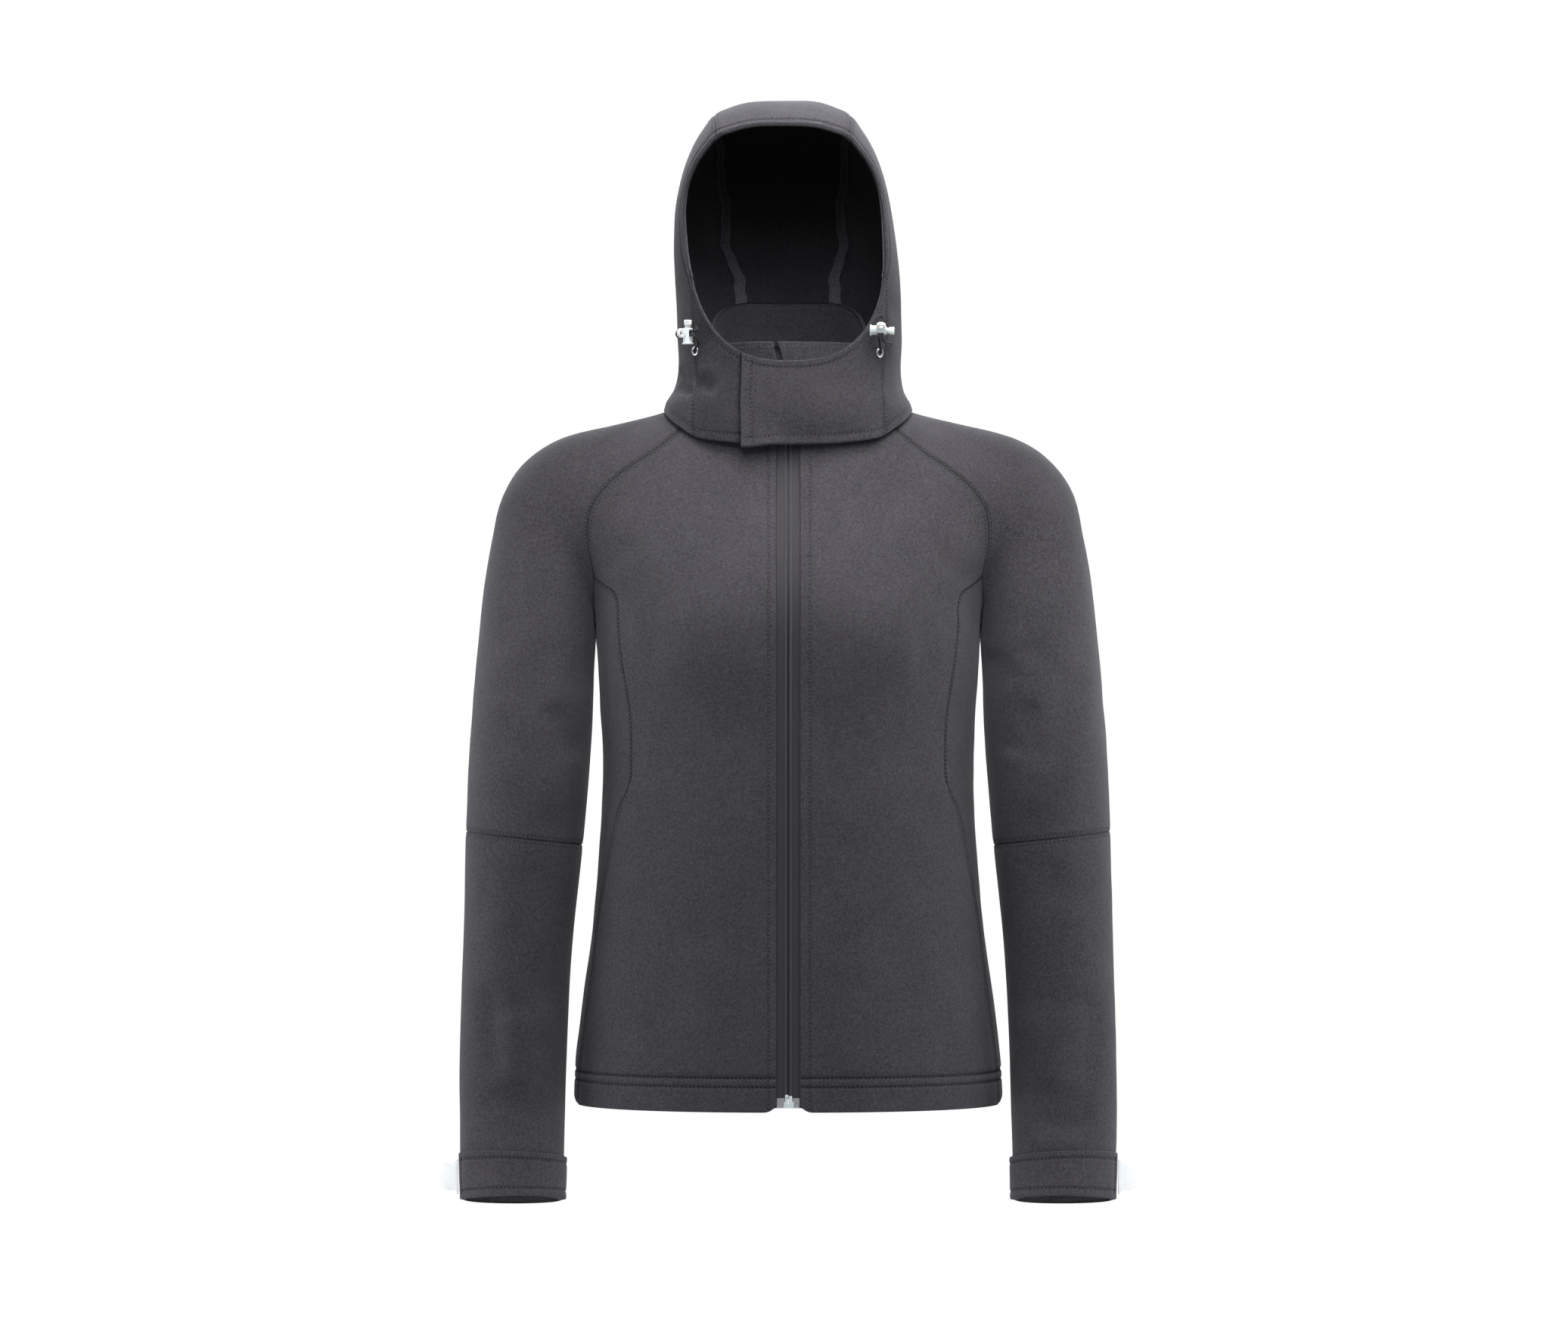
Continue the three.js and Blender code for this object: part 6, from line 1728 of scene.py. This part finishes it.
def eyelet(name, place):
    """A flat metal ring on the hood: half an ellipse turned round the hole."""
    seat_point, n = on_hood(*place["eyelet"], EYELET["off"])
    x_way = unit(np.cross([0, 0, 1.0], n))
    o, h, t, sides = (EYELET[key] for key in ("outer", "hole", "thick", "sides"))
    arch = [((o + h) / 2 + (o - h) / 2 * math.cos(a), 0.1 + (t - 0.1) * math.sin(a))
            for a in np.linspace(0, math.pi, 9)]
    points, faces = lathe([(o, 0), *arch, (h, 0)], sides)
    last = len(points) - sides
    under = [[k, last + k, last + (k + 1) % sides, (k + 1) % sides] for k in range(sides)]
    axes = np.array([x_way, np.cross(n, x_way), n])
    ring = solid(f"eyelet_{name}_ring", (points, faces[:-2] + under), METAL, (axes, seat_point))
    ring.data.shade_smooth()
    hard_piece(ring, f"eyelet_{name}")


# %% [markdown]
# The cord comes out of its eyelet, passes the lock on one lane, turns in a loop, comes back on the
# other lane and goes round into the face edge.

# %%
def drawcord(name, place):
    """The elastic loop as one smooth tube, with its length along the path."""
    axes, origin = lock_axes(place), np.array(place["at"], float)
    local = lambda x, y, z: np.array([x, y, z], float) @ axes + origin
    lane, near, far = LOCK["lane"], -LOCK["radius"] - 2.5, LOCK["radius"] + 1.5
    leave = -LOCK["radius"] - 0.6
    begin = on_hood(*place["eyelet"], EYELET["off"] + EYELET["thick"] + 0.8)[0]
    finish_at, outward = on_hood(*place["edge"], 1.6)
    turned_back = local(4.8, leave - 3.4, lane + 2.2)
    route = [begin, (begin + local(0, near, -lane)) / 2 + np.array(place["sag"], float)]
    route += [local(*point) for point in (
        (0, near, -lane), (0, 0, -lane), (0, far, -lane), (-1, far + 4.2, -lane * 1.9),
        (-1.6, far + 6.9, -lane * 1.45), (-1.9, far + 8.1, 0), (-1.6, far + 6.9, lane * 1.45),
        (-1, far + 4.2, lane * 1.9), (0, far, lane), (0, 0, lane), (0, leave, lane),
        (0.4, leave - 2.2, lane + 0.3), (2.3, leave - 3.9, lane + 1.1),
    )]
    route += [turned_back, turned_back * 0.4 + finish_at * 0.6 - outward * 0.3, finish_at]
    path = centripetal(route, 8)
    cord = mesh_object(f"drawcord_{name}_elastic", *tube(path, CORD_RADIUS), [CORD_MATERIAL])
    hard_piece(cord, f"drawcord_{name}")
    length = arc(path)[-1] * MM
    print("cord", name, round(length, 4), "m, tightest bend", tightest_bend(path), "mm")


for name, place in PLACES.items():
    lock(name, place)
    eyelet(name, place)
    drawcord(name, place)

# %% [markdown]
# ## Inside the hood
#
# A tape covers each strip seam, and a narrow facing runs behind the face edge.

# %%
HOOD_TAPE = {"thick": 0.8, "off": 0.95, "points": 110, "in": 5, "sway": 2.2, "sway_long": 11}
marks = np.arange(HOOD_TAPE["points"])
middle_line = at(strip_seam, np.linspace(1 / 12, 11 / 12, len(marks)))
height = middle_line[:, 2]
sway = HOOD_TAPE["sway"] * np.sin(height / HOOD_TAPE["sway_long"])
middle_line[:, 0] -= HOOD_TAPE["in"] * smooth(150, 85, height) - sway
offsets = np.array([-6, -5.6, -4.6, -3, 0, 3, 4.6, 5.6, 6])
grid = settle(hood, middle_line[:, None] + vec(offsets, 0, 0)[None], 4)
n = unit(slope(hood, grid))
away = CLOTH + HOOD_TAPE["off"] + HOOD_TAPE["thick"]
wave = 1.4 * np.sin(marks * 0.37) + 1.0 * np.sin(marks * 0.83 + 1)
inner_tape = plain_cloth(grid - n * away + vec(wave[:, None] * 0.6, 0, 0), -n)
ridge = 0.5 * bell(offsets, 2.2)
inner_tape.move(ridge[None] * np.ones((len(marks), 1)) + 0.25 * uneven(grid, 12, 71))
tapes = pairs("hood_tape", inner_tape)
for name, cloth in tapes.items():
    lean(cloth)
    # painted shade: the tapes darken towards the crown inside the hood
    cloth.shade = 0.8 * smooth(90, 190, cloth.p[..., 2])
    cloth.rows = [("left", 1.3, 0, 1), ("right", 1.3, 0, 1)]
    cloth_object(name + "_woven", cloth, [TAPE_CLOTH, TAPE_CLOTH], HOOD_TAPE["thick"], name)


FACING = {"wide": 17, "thick": 1.2, "off": 0.15}


def facing(name, cloth):
    """A facing behind a hood panel's face edge."""
    rows = int((cloth.bottom.mean(1) < FACING["wide"]).sum())
    grid = cloth.p[1:rows] - cloth.n[1:rows] * (CLOTH + FACING["off"] + FACING["thick"])
    strip_cloth = plain_cloth(grid, -cloth.n[1:rows])
    strip_cloth.move(0.2 * uneven(grid, 20, 83))
    strip_cloth.rows = [("top", 1.6, 0, 1)]
    cloth_object(name, strip_cloth, [TAPE_CLOTH, TAPE_CLOTH], FACING["thick"], None)
    return strip_cloth


faced = ("hood_strip", "hood_side_left", "hood_side_right")
facings = [facing(f"{name}_facing", hood_panels[name]) for name in faced]
inner_collar = plain_cloth(collar.p - collar.n * COLLAR["thick"], -collar.n)
inner_collar.rows = [("top", 5.4, 0, 1), ("left", 14, 0, 1), ("right", 14, 0, 1)]
collar.rows = list(inner_collar.rows)
thread_object("inner_stitches", sewn([*tapes.values(), *facings, inner_collar, collar]), THREAD)

# %% [markdown]
# The slider and its pull keep their own meshes, with metal on them and softened edges.

# %%
for name in ("zip_slider", "zip_pull"):
    metal_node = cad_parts[name]
    metal_node.data.materials.clear()
    metal_node.data.materials.append(METAL)
    metal_node.modifiers.new("merge", "WELD").merge_threshold = 0.01 * MM
    bevel = metal_node.modifiers.new("round", "BEVEL")
    bevel.width, bevel.segments, bevel.limit_method = 0.3 * MM, 2, "ANGLE"

# %% [markdown]
# ## Light
#
# A white studio that is dimmer towards the camera, wide soft lights from above, from in front and
# from behind, one from each side, and three narrow ones where the photo is brighter: chest, cuffs
# and crown.

# %%
world = bpy.data.worlds.new("studio")
bpy.context.scene.world = world
world.use_nodes = True
tree = world.node_tree
backdrop = tree.nodes["Background"]
direction = node(tree, "ShaderNodeTexCoord").outputs["Generated"]
towards_back = node(tree, "ShaderNodeSeparateXYZ", Vector=direction).outputs["Y"]
level = node(tree, "ShaderNodeMapRange", interpolation_type="SMOOTHSTEP", Value=towards_back,
             From_Min=-0.2, From_Max=0.7, To_Min=0.3, To_Max=1.0)
feed(tree, backdrop.inputs["Color"], (1, 1, 1, 1))
feed(tree, backdrop.inputs["Strength"], level.outputs["Result"])
bpy.context.scene.view_settings.view_transform = "Standard"


def area_light(name, place, size, power, target=(0, 0, -0.25), spread=180):
    """A soft light of a width and a height that faces a target, with a grid that keeps its spread."""
    data = bpy.data.lights.new(name, "AREA")
    data.shape, data.energy, data.spread = "RECTANGLE", power, math.radians(spread)
    data.size, data.size_y = size
    light = bpy.data.objects.new(name, data)
    light.location = place
    aim = np.array(target) - np.array(place)
    light.rotation_euler = Vector(aim).to_track_quat("-Z", "Y").to_euler()
    bpy.context.scene.collection.objects.link(light)


area_light("key", (0.22, -0.62, 1.15), (1.1, 1.1), 29)
area_light("front", (0, -2.5, 1.0), (0.9, 0.9), 10.5)
area_light("chest", (0, -1.5, 0.75), (1.5, 0.1), 0.58, (0, -0.12, -0.155), 12)
area_light("cuffs", (0, -2.0, -1.0), (1.2, 0.1), 0.3, (0, 0, -0.73), 8)
area_light("crown", (0, -0.15, 1.05), (0.16, 0.16), 0.2, (0, -0.03, 0.27), 22)
area_light("side_left", (1.3, -0.05, -0.5), (0.6, 0.6), 1.8, (0, 0, -0.45), 70)
area_light("side_right", (-1.3, -0.05, -0.5), (0.6, 0.6), 1.95, (0, 0, -0.45), 70)
area_light("back", (0, 2.2, 1.2), (1.4, 1.4), 40)

# %% [markdown]
# ## Floor

# %%
FLOOR = {"half": 3000, "z": -1300}
corners = [(x, y, FLOOR["z"]) for x, y in ((-1, -1), (1, -1), (1, 1), (-1, 1))]
corners = np.array(corners, float) * (FLOOR["half"], FLOOR["half"], 1)
floor = mesh_object("floor", corners, [(0, 1, 2, 3)], [plain_material("floor", (0.55, 0.55, 0.55, 1), 0.9)])
